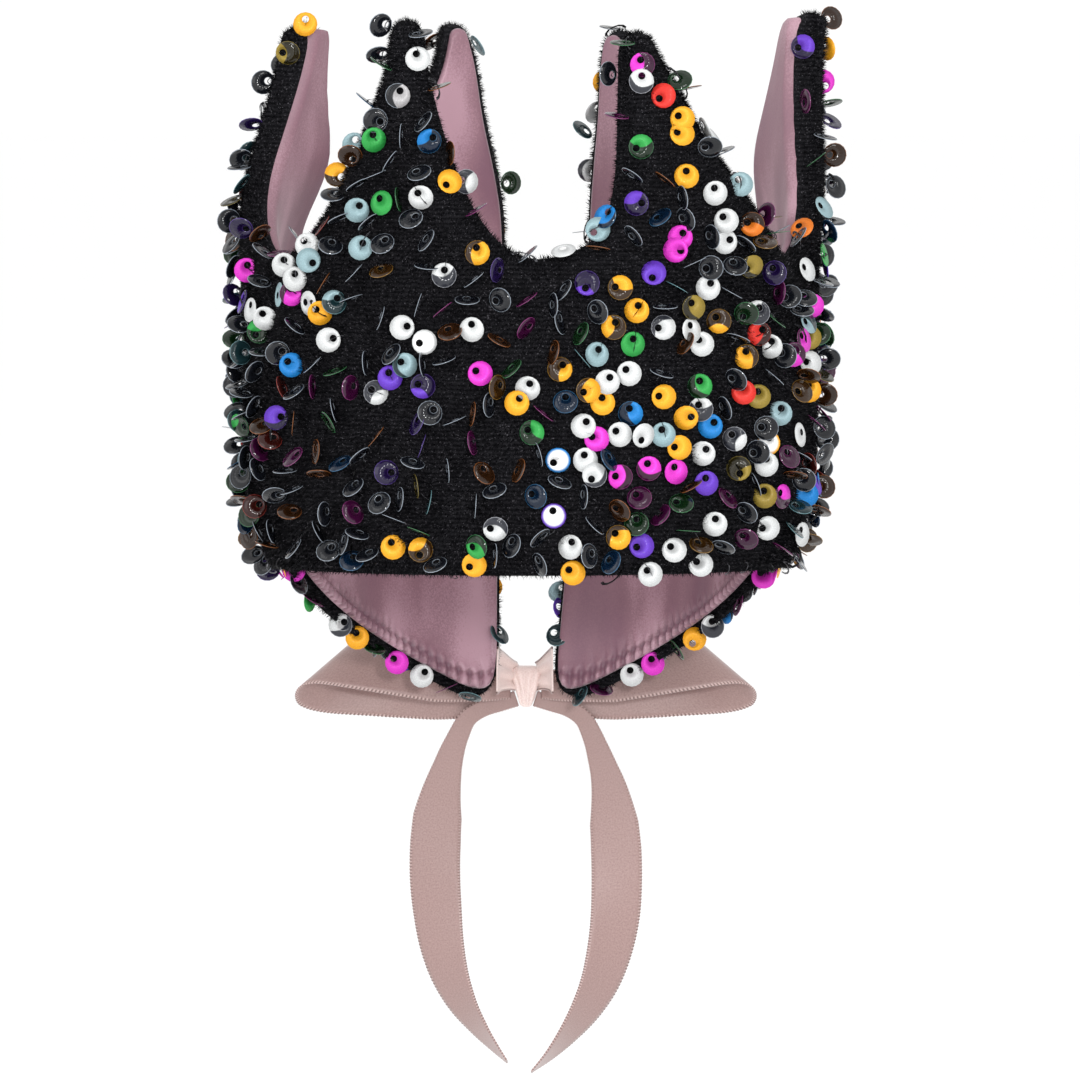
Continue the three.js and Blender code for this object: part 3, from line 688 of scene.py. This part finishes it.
def velvet_pile(look, wall, lining):
    """Short upright fibres over all the velvet that shows, as two pieces that meet at the middle."""
    chance = np.random.default_rng(SEED)
    skin = Skin(wall.data, -0.1, lining)
    count = look.pile_count
    places, normals = skin.strew(2 * count, chance)
    down, side = tangents(normals)
    x, y, z = places.T
    swirl = 2.2 * np.sin(x / 0.011 + 1.3 * np.sin(z / 0.014)) + 1.7 * np.sin(z / 0.009 + y / 0.016)
    way = swirl + chance.normal(0, 0.8, len(x))
    lean = np.radians(np.clip(chance.normal(26, 13, len(x)), 0, 70))
    flow = down * np.cos(way)[:, None] + side * np.sin(way)[:, None]
    tip_way = normals * np.cos(lean)[:, None] + flow * np.sin(lean)[:, None]
    ribs = 0.95 + 0.05 * np.sin(2 * math.pi * z / look.rib_pitch)
    length = look.pile_height * ribs * chance.uniform(0.65, 1.2, len(x))
    across = unit(np.cross(tip_way, unit(chance.normal(0, 1, (len(x), 3)))))
    tone = chance.random(len(x))
    blade = bmesh.new()
    bmesh.ops.create_circle(blade, cap_ends=True, segments=3, radius=1)
    for vertex, spot in zip(blade.verts, ((-0.5, 0, 0), (0.5, 0, 0), (0, 1, 0))):
        vertex.co = spot
    layer = blade.loops.layers.uv.verify()
    for face in blade.faces:
        for corner in face.loops:
            corner[layer].uv = corner.vert.co.xy
    turns = np.stack(
        [across * look.fibre_width, tip_way * length[:, None], np.cross(across, tip_way)], axis=2
    )
    for word, half in (("left", x < 0), ("right", x >= 0)):
        mesh = copies_mesh(f"velvet_pile_{word}", blade, places[half], turns[half], {"tone": tone[half]})
        finish_mesh(f"velvet_pile_{word}", mesh, velvet_fibre(look))
    blade.free()


def sequin_disc(look):
    """One sequin: a cupped disc with a hole near its edge, from the foil's two faces and its cut rims."""
    bm = bmesh.new()
    radius = look.diameter / 2
    bmesh.ops.create_circle(bm, cap_ends=False, segments=16, radius=radius)
    bmesh.ops.create_circle(
        bm, cap_ends=False, segments=16, radius=look.hole / 2,
        matrix=Matrix.Translation((0, look.hole_shift, 0)),
    )
    bmesh.ops.bridge_loops(bm, edges=bm.edges[:])
    for vertex in bm.verts:
        vertex.co.z = look.cup * (vertex.co.xy.length / radius) ** 2
    bmesh.ops.recalc_face_normals(bm, faces=bm.faces)
    bmesh.ops.solidify(bm, geom=bm.faces[:], thickness=look.foil_thickness)
    bmesh.ops.recalc_face_normals(bm, faces=bm.faces)
    layer = bm.loops.layers.uv.verify()
    for face in bm.faces:
        for loop in face.loops:
            loop[layer].uv = (0.5 + loop.vert.co.x / look.diameter, 0.5 + loop.vert.co.y / look.diameter)
    bm.verts.index_update()
    return bm


def spread_out(places, spacing, first, most):
    """The first few places and those after them that keep their distance, up to that many."""
    kept = list(range(first))
    for i in range(first, len(places)):
        if len(kept) >= most:
            break
        if np.min(np.sum((places[kept] - places[i]) ** 2, axis=1)) >= spacing**2:
            kept.append(i)
    return np.array(kept)


def chance_of_light(places, look):
    """How likely a strewn sequin is to lie flat and catch the light: seldom among the placed ones in
    front, more to the right, and often behind. One that does is also painted in its foil's lit colour, so the
    right side and the back are painted lighter."""
    x, y, z = places.T
    east = smooth(-0.1, 0.45, x / HALF_WIDTH)
    front = smooth(0.1, -0.3, y / HALF_WIDTH)
    more_at_right = (look.lit_right - look.lit_left) * east * front
    more_behind = (look.lit_rear - look.lit_left) * (1 - front)
    return look.lit_left + more_at_right + more_behind


def placed_sequins(wall, eye):
    """Where the chosen sequins lie on the velvet: in front along the line of sight to each, and behind on
    the wall's rim, from which they hang towards the eye."""
    skin = BVHTree.FromObject(wall, bpy.context.evaluated_depsgraph_get())
    names = list(FOILS)
    found = {"place": [], "normal": [], "lit": [], "foil": []}
    eye = Vector(eye)
    for plane, table in ((FRONT_PLANE, FRONT_SEQUINS), (REAR_PLANE, REAR_SEQUINS)):
        for across, up, name, lit in table:
            aim = Vector((across, plane, up)) * MM
            place, normal = skin.ray_cast(eye, (aim - eye).normalized())[:2]
            if place is None and plane == FRONT_PLANE:
                middle = Vector((aim.x, HEAD_MIDDLE[1], aim.z))
                place, normal = skin.find_nearest(middle)[:2]
            elif plane == REAR_PLANE:
                sight = aim - 1.2 * MM * UP - eye
                spots = [eye + sight * ((depth * MM - eye.y) / sight.y) for depth in range(20, 96, 3)]
                place = min((skin.find_nearest(spot) for spot in spots), key=lambda hit: hit[3])[0]
                normal = (eye - place).normalized()
            elif normal.xy.dot((place.xy - Vector(HEAD_MIDDLE)).normalized()) < -0.3:
                continue  # behind the lining
            for key, value in zip(found, (place, normal, lit, names.index(name))):
                found[key].append(value)
    return {key: np.array(values) for key, values in found.items()}


def sequins(look, wall, eye):
    """Every sequin on the outside, by foil colour, each hung by its hole from a stitch in the velvet."""
    chance = np.random.default_rng(SEED + 1)
    names = list(FOILS)
    spots = placed_sequins(wall, eye)
    skin = Skin(wall.data, 0.15)
    places, normals = skin.strew(STREWN_SEQUINS, chance)
    places = np.vstack([spots["place"], places])
    normals = np.vstack([spots["normal"], normals])
    placed = len(spots["place"])
    kept = spread_out(places, look.spacing, placed, int(skin.area / look.area_each))
    places, normals = places[kept], normals[kept]
    count = len(kept)
    rest = count - placed
    share = np.append(spots["lit"], (chance.random(rest) < chance_of_light(places[placed:], look)))
    lit = share > 0
    down, side = tangents(normals)
    way = chance.normal(0.35, 1.0, count)
    body = down * np.cos(way)[:, None] + side * np.sin(way)[:, None]
    lift = np.radians(np.where(lit, np.abs(chance.normal(0, 14, count)), chance.uniform(25, 89, count)))
    roll = np.radians(np.where(lit, chance.normal(0, 12, count), chance.uniform(-65, 65, count)))
    cos, sin = np.cos(lift)[:, None], np.sin(lift)[:, None]
    reach = body * cos + normals * sin
    face = normals * cos - body * sin
    beside = np.cross(face, reach)
    face = face * np.cos(roll)[:, None] + beside * np.sin(roll)[:, None]
    toward = unit(np.array(eye) - places[:placed]) + chance.normal(0, 0.16, (placed, 3))
    flat = lit[:placed, None]
    face[:placed] = np.where(flat, unit(0.8 * toward + 0.2 * normals[:placed]), face[:placed])
    reach = unit(reach - face * (reach * face).sum(1, keepdims=True))
    turns = np.stack([np.cross(-reach, face), -reach, face], axis=2)
    stand = chance.uniform(look.stand_low, look.stand_high, count)[:, None]
    centres = places + normals * stand + reach * look.hole_shift
    centres[:placed] = places[:placed] + normals[:placed] * stand[:placed]
    anchors = centres - reach * look.hole_shift
    # Painted shade over part of some lit faces: the half-lit placed ones and a share of the lit strewn ones.
    crescent = np.where(share == 0.5, 1, np.where(chance.random(count) < look.crescents, 1, 0)) * lit
    crescent[:placed] = share[:placed] == 0.5
    edge = np.where(crescent, chance.uniform(-0.15, 0.3, count), 1)
    spin = chance.uniform(0, 2 * math.pi, count)
    by_lit = chance.choice(len(names), count, p=shares_of("lit"))
    by_dull = chance.choice(len(names), count, p=shares_of("dull"))
    colour = np.where(lit, by_lit, by_dull)
    colour[:placed] = spots["foil"]
    over_front_hem = (centres[:, 1] < -0.02) & (centres[:, 2] < 0.45 * look.diameter)
    beside_knot = np.abs(centres[:, 0] - KNOT_MIDDLE.x) < 14 * MM
    by_ties = beside_knot & (centres[:, 1] > 0.05) & (centres[:, 2] < -0.02)
    dropped = over_front_hem | by_ties
    dropped[:placed] = False
    disc = sequin_disc(look)
    for index, name in enumerate(names):
        these = (colour == index) & ~dropped
        if not these.any():
            continue
        # lit sets the painted lit colour, a lit value of 2 the painted white glint, and edge where a painted
        # crescent of shade begins.
        values = {"lit": np.maximum(lit, share)[these], "spin": spin[these], "edge": edge[these]}
        mesh = copies_mesh(f"sequins_{name}", disc, centres[these], turns[these], values)
        finish_mesh(f"sequins_{name}", mesh, foil(name, FOILS[name], look))
    disc.free()
    sewing_thread(look, chance, places, normals, anchors, body)


def shares_of(kind):
    """How common each foil is among the sequins of that kind, lit or dull."""
    weights = np.array([foil_row[kind] for foil_row in FOILS.values()], float)
    return weights / weights.sum()


def sewing_thread(look, chance, places, normals, anchors, body):
    """A small arch of thread at each sequin's hole, and a loose run of it beside some."""
    arch = bmesh.new()
    ring = bmesh.ops.create_circle(
        arch, cap_ends=False, segments=3, radius=look.thread_width / 2,
        matrix=Matrix.Translation((0.5 * MM, 0, 0)) @ Matrix.Rotation(math.pi / 2, 4, "X"),
    )
    bmesh.ops.spin(
        arch, geom=ring["verts"] + arch.edges[:], cent=(0, 0, 0), axis=(0, 1, 0), angle=-math.pi, steps=6
    )
    arch.verts.index_update()
    arch.normal_update()
    count = len(places)
    across = np.cross(normals, body)
    size = chance.uniform(2.2, 6.5, count)[:, None] * np.where(chance.random(count) < 0.35, 1, 0.5)[:, None]
    turns = np.stack([body * size, across, normals * (0.6 + 0.5 * size)], axis=2)
    base = anchors - normals * 0.9 * MM + across * 0.3 * MM
    mesh = copies_mesh("sequin_thread", arch, base, turns, {"tone": chance.random(count) ** 2})
    arch.free()
    finish_mesh("sequin_thread", mesh, thread(look))


def hem_height(bm):
    """A function that gives how far above the lining's hem a place is."""
    spots = np.array([v.co for v in bm.verts])
    step = math.radians(3)
    around = np.arctan2(spots[:, 0] - HEAD_MIDDLE[0], -(spots[:, 1] - HEAD_MIDDLE[1]))
    bins = np.floor((around + math.pi) / step).astype(int)
    hem = np.full(bins.max() + 2, 1.0)
    np.minimum.at(hem, bins, spots[:, 2])
    middles = (np.arange(len(hem)) + 0.5) * step - math.pi
    known = hem < 1
    middles, hem = middles[known], hem[known]

    def above(spot):
        return spot.z - float(np.interp(
            math.atan2(spot.x - HEAD_MIDDLE[0], -(spot.y - HEAD_MIDDLE[1])), middles, hem
        ))

    return above


def satin_lining(look):
    """The lining, puckered along its rear hem where the seam was turned and sewn."""
    bm = subdivided(cad_mesh("satin_lining"), 2)
    puff(bm, look.puff)
    height = hem_height(bm)
    long_ones = [
        edge for edge in bm.edges
        if edge.calc_length() > 1.4 * MM and height(edge.verts[0].co) < look.pucker_reach
    ]
    bmesh.ops.subdivide_edges(bm, edges=long_ones, cuts=2, use_grid_fill=True)
    bm.normal_update()
    middle = Vector(HEAD_MIDDLE)
    painted_pucker_shading = bm.verts.layers.float.new("painted_pucker_shading")
    for vertex in bm.verts:
        above = height(vertex.co)
        out = (vertex.co.xy - middle).normalized()
        rear = float(smooth(-0.2, 0.2, out.y))
        if above > look.pucker_reach or vertex.normal.xy.dot(out) > -0.3 or rear == 0:
            continue
        along = math.atan2(out.x, -out.y) * HALF_WIDTH * 1.15
        wave = math.sin(2 * math.pi * along / look.pucker_pitch + 1.5 * math.sin(along / 0.011))
        fade = float(smooth(look.pucker_reach, 0.3 * look.pucker_reach, above) * smooth(0, 0.8 * MM, above))
        seam = math.exp(-(((above - look.seam_height) / (0.7 * MM)) ** 2))
        push = look.pucker_depth * (0.45 + 0.55 * wave) * fade - 0.9 * MM * seam
        vertex.co.xy -= out * push * rear
        # Painted highlight and shade for the satin: positive on the puckers' tops, negative in their hollows
        # and along the seam.
        vertex[painted_pucker_shading] = (wave - 1.5 * seam) * fade * rear
    lining = finish_piece("satin_lining_cloth", bm, satin(look), ("satin_lining",))
    return lining


def ribbon_strip(name, course, widths, across, look, material, replaces, pleats=None, square=True):
    """A ribbon along a course: a grid laid along it, its edges pushed out and in as picots, then thickened.
    Its rows lie square to the course, unless they lean as they do at a slanting fold."""
    course = np.asarray(course)
    rows, columns = len(course), look.columns
    forward = unit(np.gradient(course, axis=0))
    if square:
        across = unit(across - forward * (across * forward).sum(1, keepdims=True))
    out_of = unit(np.cross(forward, across))
    walked = np.append(0, np.cumsum(np.linalg.norm(np.diff(course, axis=0), axis=1)))
    bm = bmesh.new()
    bmesh.ops.create_grid(bm, x_segments=columns, y_segments=rows - 1, size=1)
    layer = bm.loops.layers.uv.new("UVMap")
    for vertex in bm.verts:
        row = round((vertex.co.y + 1) / 2 * (rows - 1))
        share = vertex.co.x
        picot = look.picot_depth * (row % 2) if abs(share) > 0.999 else 0
        out = share * widths[row] / 2 + math.copysign(picot, share)
        for corner in vertex.link_loops:
            corner[layer].uv = (share * look.width / 2, walked[row])
        lift = pleats[row] * math.cos(2.5 * math.pi * share) if pleats is not None else 0
        vertex.co = Vector(course[row] + across[row] * out + out_of[row] * lift)
    bmesh.ops.recalc_face_normals(bm, faces=bm.faces)
    strip = finish_piece(name, bm, material, replaces)
    body = strip.modifiers.new("cloth", "SOLIDIFY")
    body.thickness = look.thickness
    body.offset = 0
    return strip


def ribbon_rows(length, look):
    """Rows enough for one picot on every second of them."""
    return int(2 * length / look.picot_pitch) + 1


def tail(word, route, side, look, material):
    """One hanging end of the ribbon, opening out from the knot and turning edge-on lower down."""
    path = np.array(route) * MM
    length = float(np.linalg.norm(np.diff(path, axis=0), axis=1).sum())
    rows = ribbon_rows(length, look)
    course = curve_through(path, rows)
    forward = unit(np.gradient(course, axis=0))
    flat = unit(np.cross(np.array([0, 1.0, 0]), forward))
    shares = np.linspace(0, 1, rows)
    turn = -side * look.tail_turn * along_table(TAIL_TURNS, shares)[:, None]
    across = flat * np.cos(turn) + np.cross(forward, flat) * np.sin(turn)
    widths = look.width * along_table(TAIL_WIDTHS, shares)
    strip = ribbon_strip(
        f"ribbon_tail_{word}_cloth", course, widths, across, look, material, (f"ribbon_tail_{word}",)
    )
    return strip


def loop(word, side, look, material):
    """One loop of the bow: out along the front, round a slanting fold and back behind."""
    start = KNOT_MIDDLE + Vector((side * 4 * MM, -5.5 * MM, -2.4 * MM))
    rows_of = {key: np.array([row[key] for row in LOOP_COURSE], float) for key in LOOP_COURSE[0]}
    spots = np.stack(
        [
            start.x + side * rows_of["out"] * look.loop_reach,
            start.y + rows_of["back"] * look.loop_depth,
            start.z + rows_of["rise"] * look.loop_rise,
        ],
        axis=1,
    )
    length = float(np.linalg.norm(np.diff(spots, axis=0), axis=1).sum())
    rows = ribbon_rows(length, look)
    course = curve_through(spots, rows)
    shares = np.linspace(0, 1, rows)
    tilt = look.loop_tilt * along_table(rows_of["tilt"], shares)
    wide = along_table(rows_of["wide"], shares)
    lean = along_table(rows_of["lean"], shares)
    across = np.stack([-side * np.tan(tilt) * wide, lean, wide], axis=1)
    widths = look.width * np.linalg.norm(across, axis=1)
    across = unit(across)
    strip = ribbon_strip(
        f"bow_loop_{word}_cloth", course, widths, across, look, material, (f"bow_loop_{word}",), square=False,
    )
    return strip


def tie(word, side, look, material):
    """The ribbon's sewn end, from the wall's lower corner into the knot, gathered into pleats on the way."""
    low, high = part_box(f"ribbon_tie_{word}")
    outer = low.x if side < 0 else high.x
    inner = high.x if side < 0 else low.x
    half = 0.5 * (high.z - low.z)
    spots = np.array(
        [
            (outer + side * 0.8 * MM, low.y - 2 * MM, high.z - half * 0.8),
            (outer - side * 0.2 * MM, low.y + 0.35 * (high.y - low.y), high.z - half * 0.9),
            (inner - side * 0.3 * MM, high.y + 1 * MM, high.z - half * 1.25),
        ]
    )
    length = float(np.linalg.norm(np.diff(spots, axis=0), axis=1).sum())
    rows = ribbon_rows(length, look)
    course = curve_through(spots, rows)
    shares = np.linspace(0, 1, rows)
    widths = 2 * half * (1.15 - 0.45 * smooth(0, 1, shares))
    across = np.tile(np.array([0, 0, 1.0]), (rows, 1))
    strip = ribbon_strip(
        f"ribbon_tie_{word}_cloth", course, widths, across, look, material, (f"ribbon_tie_{word}",),
        pleats=look.tie_pleats * smooth(0, 0.4, shares),
    )
    return strip


def knot(look, material):
    """The knot: the ribbon wrapped once round, a slanting lap over it and pleats down to its narrow foot."""
    bm = subdivided(cad_mesh("bow_knot"), 3)
    bm.normal_update()
    layer = bm.loops.layers.uv.new("UVMap")
    half = (KNOT_HIGH - KNOT_LOW) / 2
    moves = []
    for vertex in bm.verts:
        spot = vertex.co - KNOT_MIDDLE
        across, height = spot.x / half.x, spot.z / half.z
        fan = across / (0.75 + 0.25 * height)
        pleat = abs(math.sin(1.6 * math.pi * fan + 0.4)) - 0.5
        lap = float(smooth(-0.1, 0.1, across * 0.9 + 0.35 + 0.45 * height)) - 0.5
        end = 1 - abs(height) ** 6
        moves.append(vertex.normal * (pleat * look.pleat_depth + lap * 0.35 * MM) * end)
    for vertex, move in zip(bm.verts, moves):
        vertex.co += move
        vertex.co.x += (vertex.co.x - KNOT_MIDDLE.x) * 0.3 * (vertex.co.z - KNOT_MIDDLE.z) / half.z
    for face in bm.faces:
        for corner in face.loops:
            spot = corner.vert.co - KNOT_MIDDLE
            corner[layer].uv = (spot.x, spot.z)
    return finish_piece("knot_wrap", bm, material, ("bow_knot",))


# Settings


def metres(name, about, value):
    """A setting that is a length."""
    return bpy.props.FloatProperty(name=name, description=about, default=value, unit="LENGTH", precision=5)


def paint(name, value):
    """A setting that is a colour."""
    return bpy.props.StringProperty(name=name, description="sRGB hex", default=value)


def plain(name, about, value):
    """A setting that is a share or another bare number."""
    return bpy.props.FloatProperty(name=name, description=about, default=value)


class CrownVelvet(bpy.types.PropertyGroup):
    colour: paint("Velvet colour", "0A0A0D")
    faint_painted_glint_colour: paint("Faint painted glint colour", "1B191E")
    glint_colour: paint("Glint colour", "8A878E")
    rib_pitch: metres("Rib pitch", "Between rows of pile", 1.1 * MM)
    crush: metres("Crush", "Size of the pile's uneven locks", 0.9 * MM)
    pile_height: metres("Pile height", "A fibre's usual length", 1.35 * MM)
    pile_sink: metres("Pile sink", "How far the backing lies under the pile's tips", 0.8 * MM)
    fibre_width: metres("Fibre width", "Drawn as a lock of several fibres", 0.2 * MM)
    pile_count: bpy.props.IntProperty(name="Fibres a half", description="Locks on each half", default=185000)
    puff: metres("Puff", "How far the points swell on each side", 2 * MM)


class CrownSequins(bpy.types.PropertyGroup):
    diameter: metres("Diameter", "Across a sequin", 6 * MM)
    hole: metres("Hole", "Across its hole", 1.75 * MM)
    hole_shift: metres("Hole shift", "The hole's middle from the disc's", 1.25 * MM)
    cup: metres("Cup", "How far the rim stands above the middle", 0.1 * MM)
    foil_thickness: metres("Foil thickness", "Thickness of the foil", 0.12 * MM)
    spacing: metres("Least spacing", "Between two stitches", 4.5 * MM)
    area_each: bpy.props.FloatProperty(name="Area each", description="Square metres of velvet for a sequin",
                                       default=50e-6, precision=7)
    stand_low: metres("Least stand-off", "Of a hole from the backing", 1.3 * MM)
    stand_high: metres("Most stand-off", "Of a hole from the backing", 2.4 * MM)
    lit_left: plain("Lit at left", "Share that lies flat", 0.07)
    lit_right: plain("Lit at right", "Share that lies flat", 0.25)
    lit_rear: plain("Lit behind", "Share that lies flat", 0.5)
    crescents: plain("Crescents", "Share of lit faces part in shade", 0.3)
    thread_width: metres("Thread", "Thread's thickness", 0.16 * MM)
    painted_thread_glint_colour: paint("Painted thread glint colour", "8C8C92")


class CrownSatin(bpy.types.PropertyGroup):
    colour: paint("Satin colour", "87646F")
    light: paint("Lighter satin", "A98591")
    shade: paint("Darker satin", "785563")
    puff: metres("Puff", "How far the points swell on each side", 2 * MM)
    grain: metres("Grain", "The weave's grain, drawn coarser than it is", 0.45 * MM)
    pucker_pitch: metres("Pucker pitch", "Between puckers of the hem seam", 3.1 * MM)
    pucker_reach: metres("Pucker reach", "How far up they run", 7 * MM)
    pucker_depth: metres("Pucker depth", "Half of a pucker's height", 1.7 * MM)
    seam_height: metres("Seam height", "Of the stitches above the hem", 3.6 * MM)
    flat_area: bpy.props.FloatProperty(name="Flat area", description="Of the cut lining, in square metres",
                                       default=0.046, precision=4)


class CrownRibbon(bpy.types.PropertyGroup):
    colour: paint("Ribbon colour", "8E7370")
    light: paint("Lighter ribbon", "A38883")
    # The knot's two colours are the ribbon painted as lit.
    painted_lit_knot_colour: paint("Painted lit knot colour", "DCC6C0")
    painted_lit_knot_grain: paint("Lighter painted lit knot", "EBDAD5")
    edge_colour: paint("Edge colour", "705653")
    picot_colour: paint("Picot colour", "C4ABA6")
    grain: metres("Grain", "The weave's grain, drawn coarser than it is", 0.45 * MM)
    width: metres("Width", "Edge to edge", 12.7 * MM)
    thickness: metres("Thickness", "Of the ribbon", 0.4 * MM)
    picot_pitch: metres("Picot pitch", "Between picots", 0.8 * MM)
    picot_depth: metres("Picot depth", "How far a picot stands out", 0.22 * MM)
    columns: bpy.props.IntProperty(name="Columns", description="Faces across the ribbon", default=10)
    tail_turn: bpy.props.FloatProperty(name="Tail turn", description="How far a tail has turned at its end",
                                       default=math.radians(85), subtype="ANGLE")
    loop_tilt: bpy.props.FloatProperty(name="Loop tilt", description="How far a loop's round end leans in",
                                       default=math.radians(50), subtype="ANGLE")
    loop_reach: metres("Loop reach", "From the knot to the round end", 50.5 * MM)
    loop_depth: metres("Loop depth", "From the front run to the back run", 11 * MM)
    loop_rise: metres("Loop rise", "Front run above back run", 8.5 * MM)
    tie_pleats: metres("Tie pleats", "Half height of the ties' pleats", 0.5 * MM)
    pleat_depth: metres("Pleat depth", "Of the knot's pleats", 0.45 * MM)


class CrownStage(bpy.types.PropertyGroup):
    floor_colour: paint("Floor colour", "FDFDFD")
    floor_drop: metres("Floor", "Below the head seat", 0.16)
    camera_place: bpy.props.FloatVectorProperty(name="Camera", description="Its place",
                                                default=(2.4 * MM, -2.6, 117.5 * MM), subtype="TRANSLATION")
    camera_aim: bpy.props.FloatVectorProperty(name="Aim", description="What it looks at",
                                              default=(2.4 * MM, 0, 5.8 * MM), subtype="TRANSLATION")
    lens: plain("Lens", "Focal length in millimetres", 352.5)


# Operators


class CROWN_OT_camera(bpy.types.Operator):
    """Sets the camera at the height and distance of a photographer's, a little above the crown's middle"""

    bl_idname = "crown.camera"
    bl_label = "Camera"

    def execute(self, context):
        stage = context.scene.crown_stage
        data = bpy.data.cameras.new("camera")
        data.lens = stage.lens
        data.sensor_width = 36
        camera = bpy.data.objects.new("camera", data)
        place, aim = Vector(stage.camera_place), Vector(stage.camera_aim)
        camera.location = place
        camera.rotation_euler = (aim - place).to_track_quat("-Z", "Y").to_euler()
        context.scene.collection.objects.link(camera)
        context.scene.camera = camera
        return {"FINISHED"}


class CROWN_OT_tails(bpy.types.Operator):
    """Hangs the ribbon's two tails"""

    bl_idname = "crown.tails"
    bl_label = "Tails"

    def execute(self, context):
        look = context.scene.crown_ribbon
        material = ribbon_weave("tails", look, look.colour, look.light)
        tail("left", LEFT_TAIL, -1, look, material)
        tail("right", RIGHT_TAIL, 1, look, material)
        return {"FINISHED"}


class CROWN_OT_velvet(bpy.types.Operator):
    """Builds the padded velvet wall"""

    bl_idname = "crown.velvet"
    bl_label = "Velvet"

    def execute(self, context):
        velvet_wall(context.scene.crown_velvet)
        return {"FINISHED"}


class CROWN_OT_pile(bpy.types.Operator):
    """Sets the velvet's pile on its backing wherever the lining leaves it bare"""

    bl_idname = "crown.pile"
    bl_label = "Pile"

    def execute(self, context):
        wall, lining = (bpy.data.objects.get(name) for name in ("velvet_wall", "satin_lining_cloth"))
        if wall is None or lining is None:
            raise RuntimeError("build the velvet and the lining first")
        velvet_pile(context.scene.crown_velvet, wall, lining)
        return {"FINISHED"}


class CROWN_OT_lining(bpy.types.Operator):
    """Builds the satin lining"""

    bl_idname = "crown.lining"
    bl_label = "Lining"

    def execute(self, context):
        satin_lining(context.scene.crown_satin)
        return {"FINISHED"}


class CROWN_OT_sequins(bpy.types.Operator):
    """Sews the sequins to the velvet"""

    bl_idname = "crown.sequins"
    bl_label = "Sequins"

    def execute(self, context):
        wall = bpy.data.objects.get("velvet_wall")
        if wall is None:
            raise RuntimeError("build the velvet first")
        sequins(context.scene.crown_sequins, wall, context.scene.crown_stage.camera_place)
        return {"FINISHED"}


class CROWN_OT_bow(bpy.types.Operator):
    """Ties the bow: its knot, its loops and its two sewn ends"""

    bl_idname = "crown.bow"
    bl_label = "Bow"

    def execute(self, context):
        look = context.scene.crown_ribbon
        # Painted light: the knot and the ties take a paler copy of the ribbon's weave, painted as lit, while
        # the loops and tails keep the ribbon's own colour.
        pale = ribbon_weave("knot", look, look.painted_lit_knot_colour, look.painted_lit_knot_grain)
        knot(look, pale)
        plain = ribbon_weave("bow", look, look.colour, look.light)
        for word, side in (("left", -1), ("right", 1)):
            loop(word, side, look, plain)
            tie(word, side, look, pale)
        return {"FINISHED"}


class CROWN_OT_stage(bpy.types.Operator):
    """Lays a pale floor and sets soft studio lights"""

    bl_idname = "crown.stage"
    bl_label = "Stage"

    def execute(self, context):
        stage = context.scene.crown_stage
        material, _, shader = new_material("floor_paper_pale", roughness=0.9)
        shader.inputs["Base Color"].default_value = linear(stage.floor_colour)
        bm = bmesh.new()
        bmesh.ops.create_grid(bm, x_segments=1, y_segments=1, size=60)
        bmesh.ops.translate(bm, verts=bm.verts, vec=(0, 0, -stage.floor_drop))
        mesh = bpy.data.meshes.new("floor")
        bm.to_mesh(mesh)
        bm.free()
        mesh.materials.append(material)
        floor = bpy.data.objects.new("floor", mesh)
        context.scene.collection.objects.link(floor)
        world = bpy.data.worlds.new("studio")
        world.use_nodes = True
        world.node_tree.nodes["Background"].inputs["Color"].default_value = (1, 1, 1, 1)
        world.node_tree.nodes["Background"].inputs["Strength"].default_value = 1.02
        context.scene.world = world
        for name, place, size, power in (
            ("key", (0.7, -1.6, 1.2), 0.7, 11),
            ("fill", (-1.3, -1.1, 0.5), 1.2, 7),
            ("flash", (0.25, -2.3, 0.3), 0.16, 17),
        ):
            data = bpy.data.lights.new(name, "AREA")
            data.size = size
            data.energy = power
            lamp = bpy.data.objects.new(name, data)
            lamp.location = place
            lamp.rotation_euler = (Vector((0, 0, 0.04)) - Vector(place)).to_track_quat("-Z", "Y").to_euler()
            context.scene.collection.objects.link(lamp)
        context.scene.view_settings.view_transform = "Standard"
        return {"FINISHED"}


class CROWN_PT_panel(bpy.types.Panel):
    bl_label = "Sequin Crown"
    bl_idname = "CROWN_PT_panel"
    bl_space_type = "VIEW_3D"
    bl_region_type = "UI"
    bl_category = "Crown"

    def draw(self, context):
        for operator in OPERATORS:
            self.layout.operator(operator.bl_idname)
        for name in GROUPS:
            box = self.layout.box()
            group = getattr(context.scene, name)
            for key in group.__annotations__:
                box.prop(group, key)


OPERATORS = (
    CROWN_OT_camera, CROWN_OT_tails, CROWN_OT_velvet, CROWN_OT_lining, CROWN_OT_pile,
    CROWN_OT_sequins, CROWN_OT_bow, CROWN_OT_stage,
)
GROUPS = {
    "crown_velvet": CrownVelvet,
    "crown_sequins": CrownSequins,
    "crown_satin": CrownSatin,
    "crown_ribbon": CrownRibbon,
    "crown_stage": CrownStage,
}


def register():
    for name, group in GROUPS.items():
        bpy.utils.register_class(group)
        setattr(bpy.types.Scene, name, bpy.props.PointerProperty(type=group))
    for kind in (*OPERATORS, CROWN_PT_panel):
        bpy.utils.register_class(kind)


def unregister():
    for kind in (CROWN_PT_panel, *reversed(OPERATORS)):
        bpy.utils.unregister_class(kind)
    for name, group in GROUPS.items():
        delattr(bpy.types.Scene, name)
        bpy.utils.unregister_class(group)


def main():
    register()
    bpy.ops.crown.camera()
    bpy.ops.crown.tails()
    bpy.ops.crown.velvet()
    bpy.ops.crown.lining()
    bpy.ops.crown.pile()
    bpy.ops.crown.sequins()
    bpy.ops.crown.bow()
    bpy.ops.crown.stage()


if __name__ == "__main__":
    main()
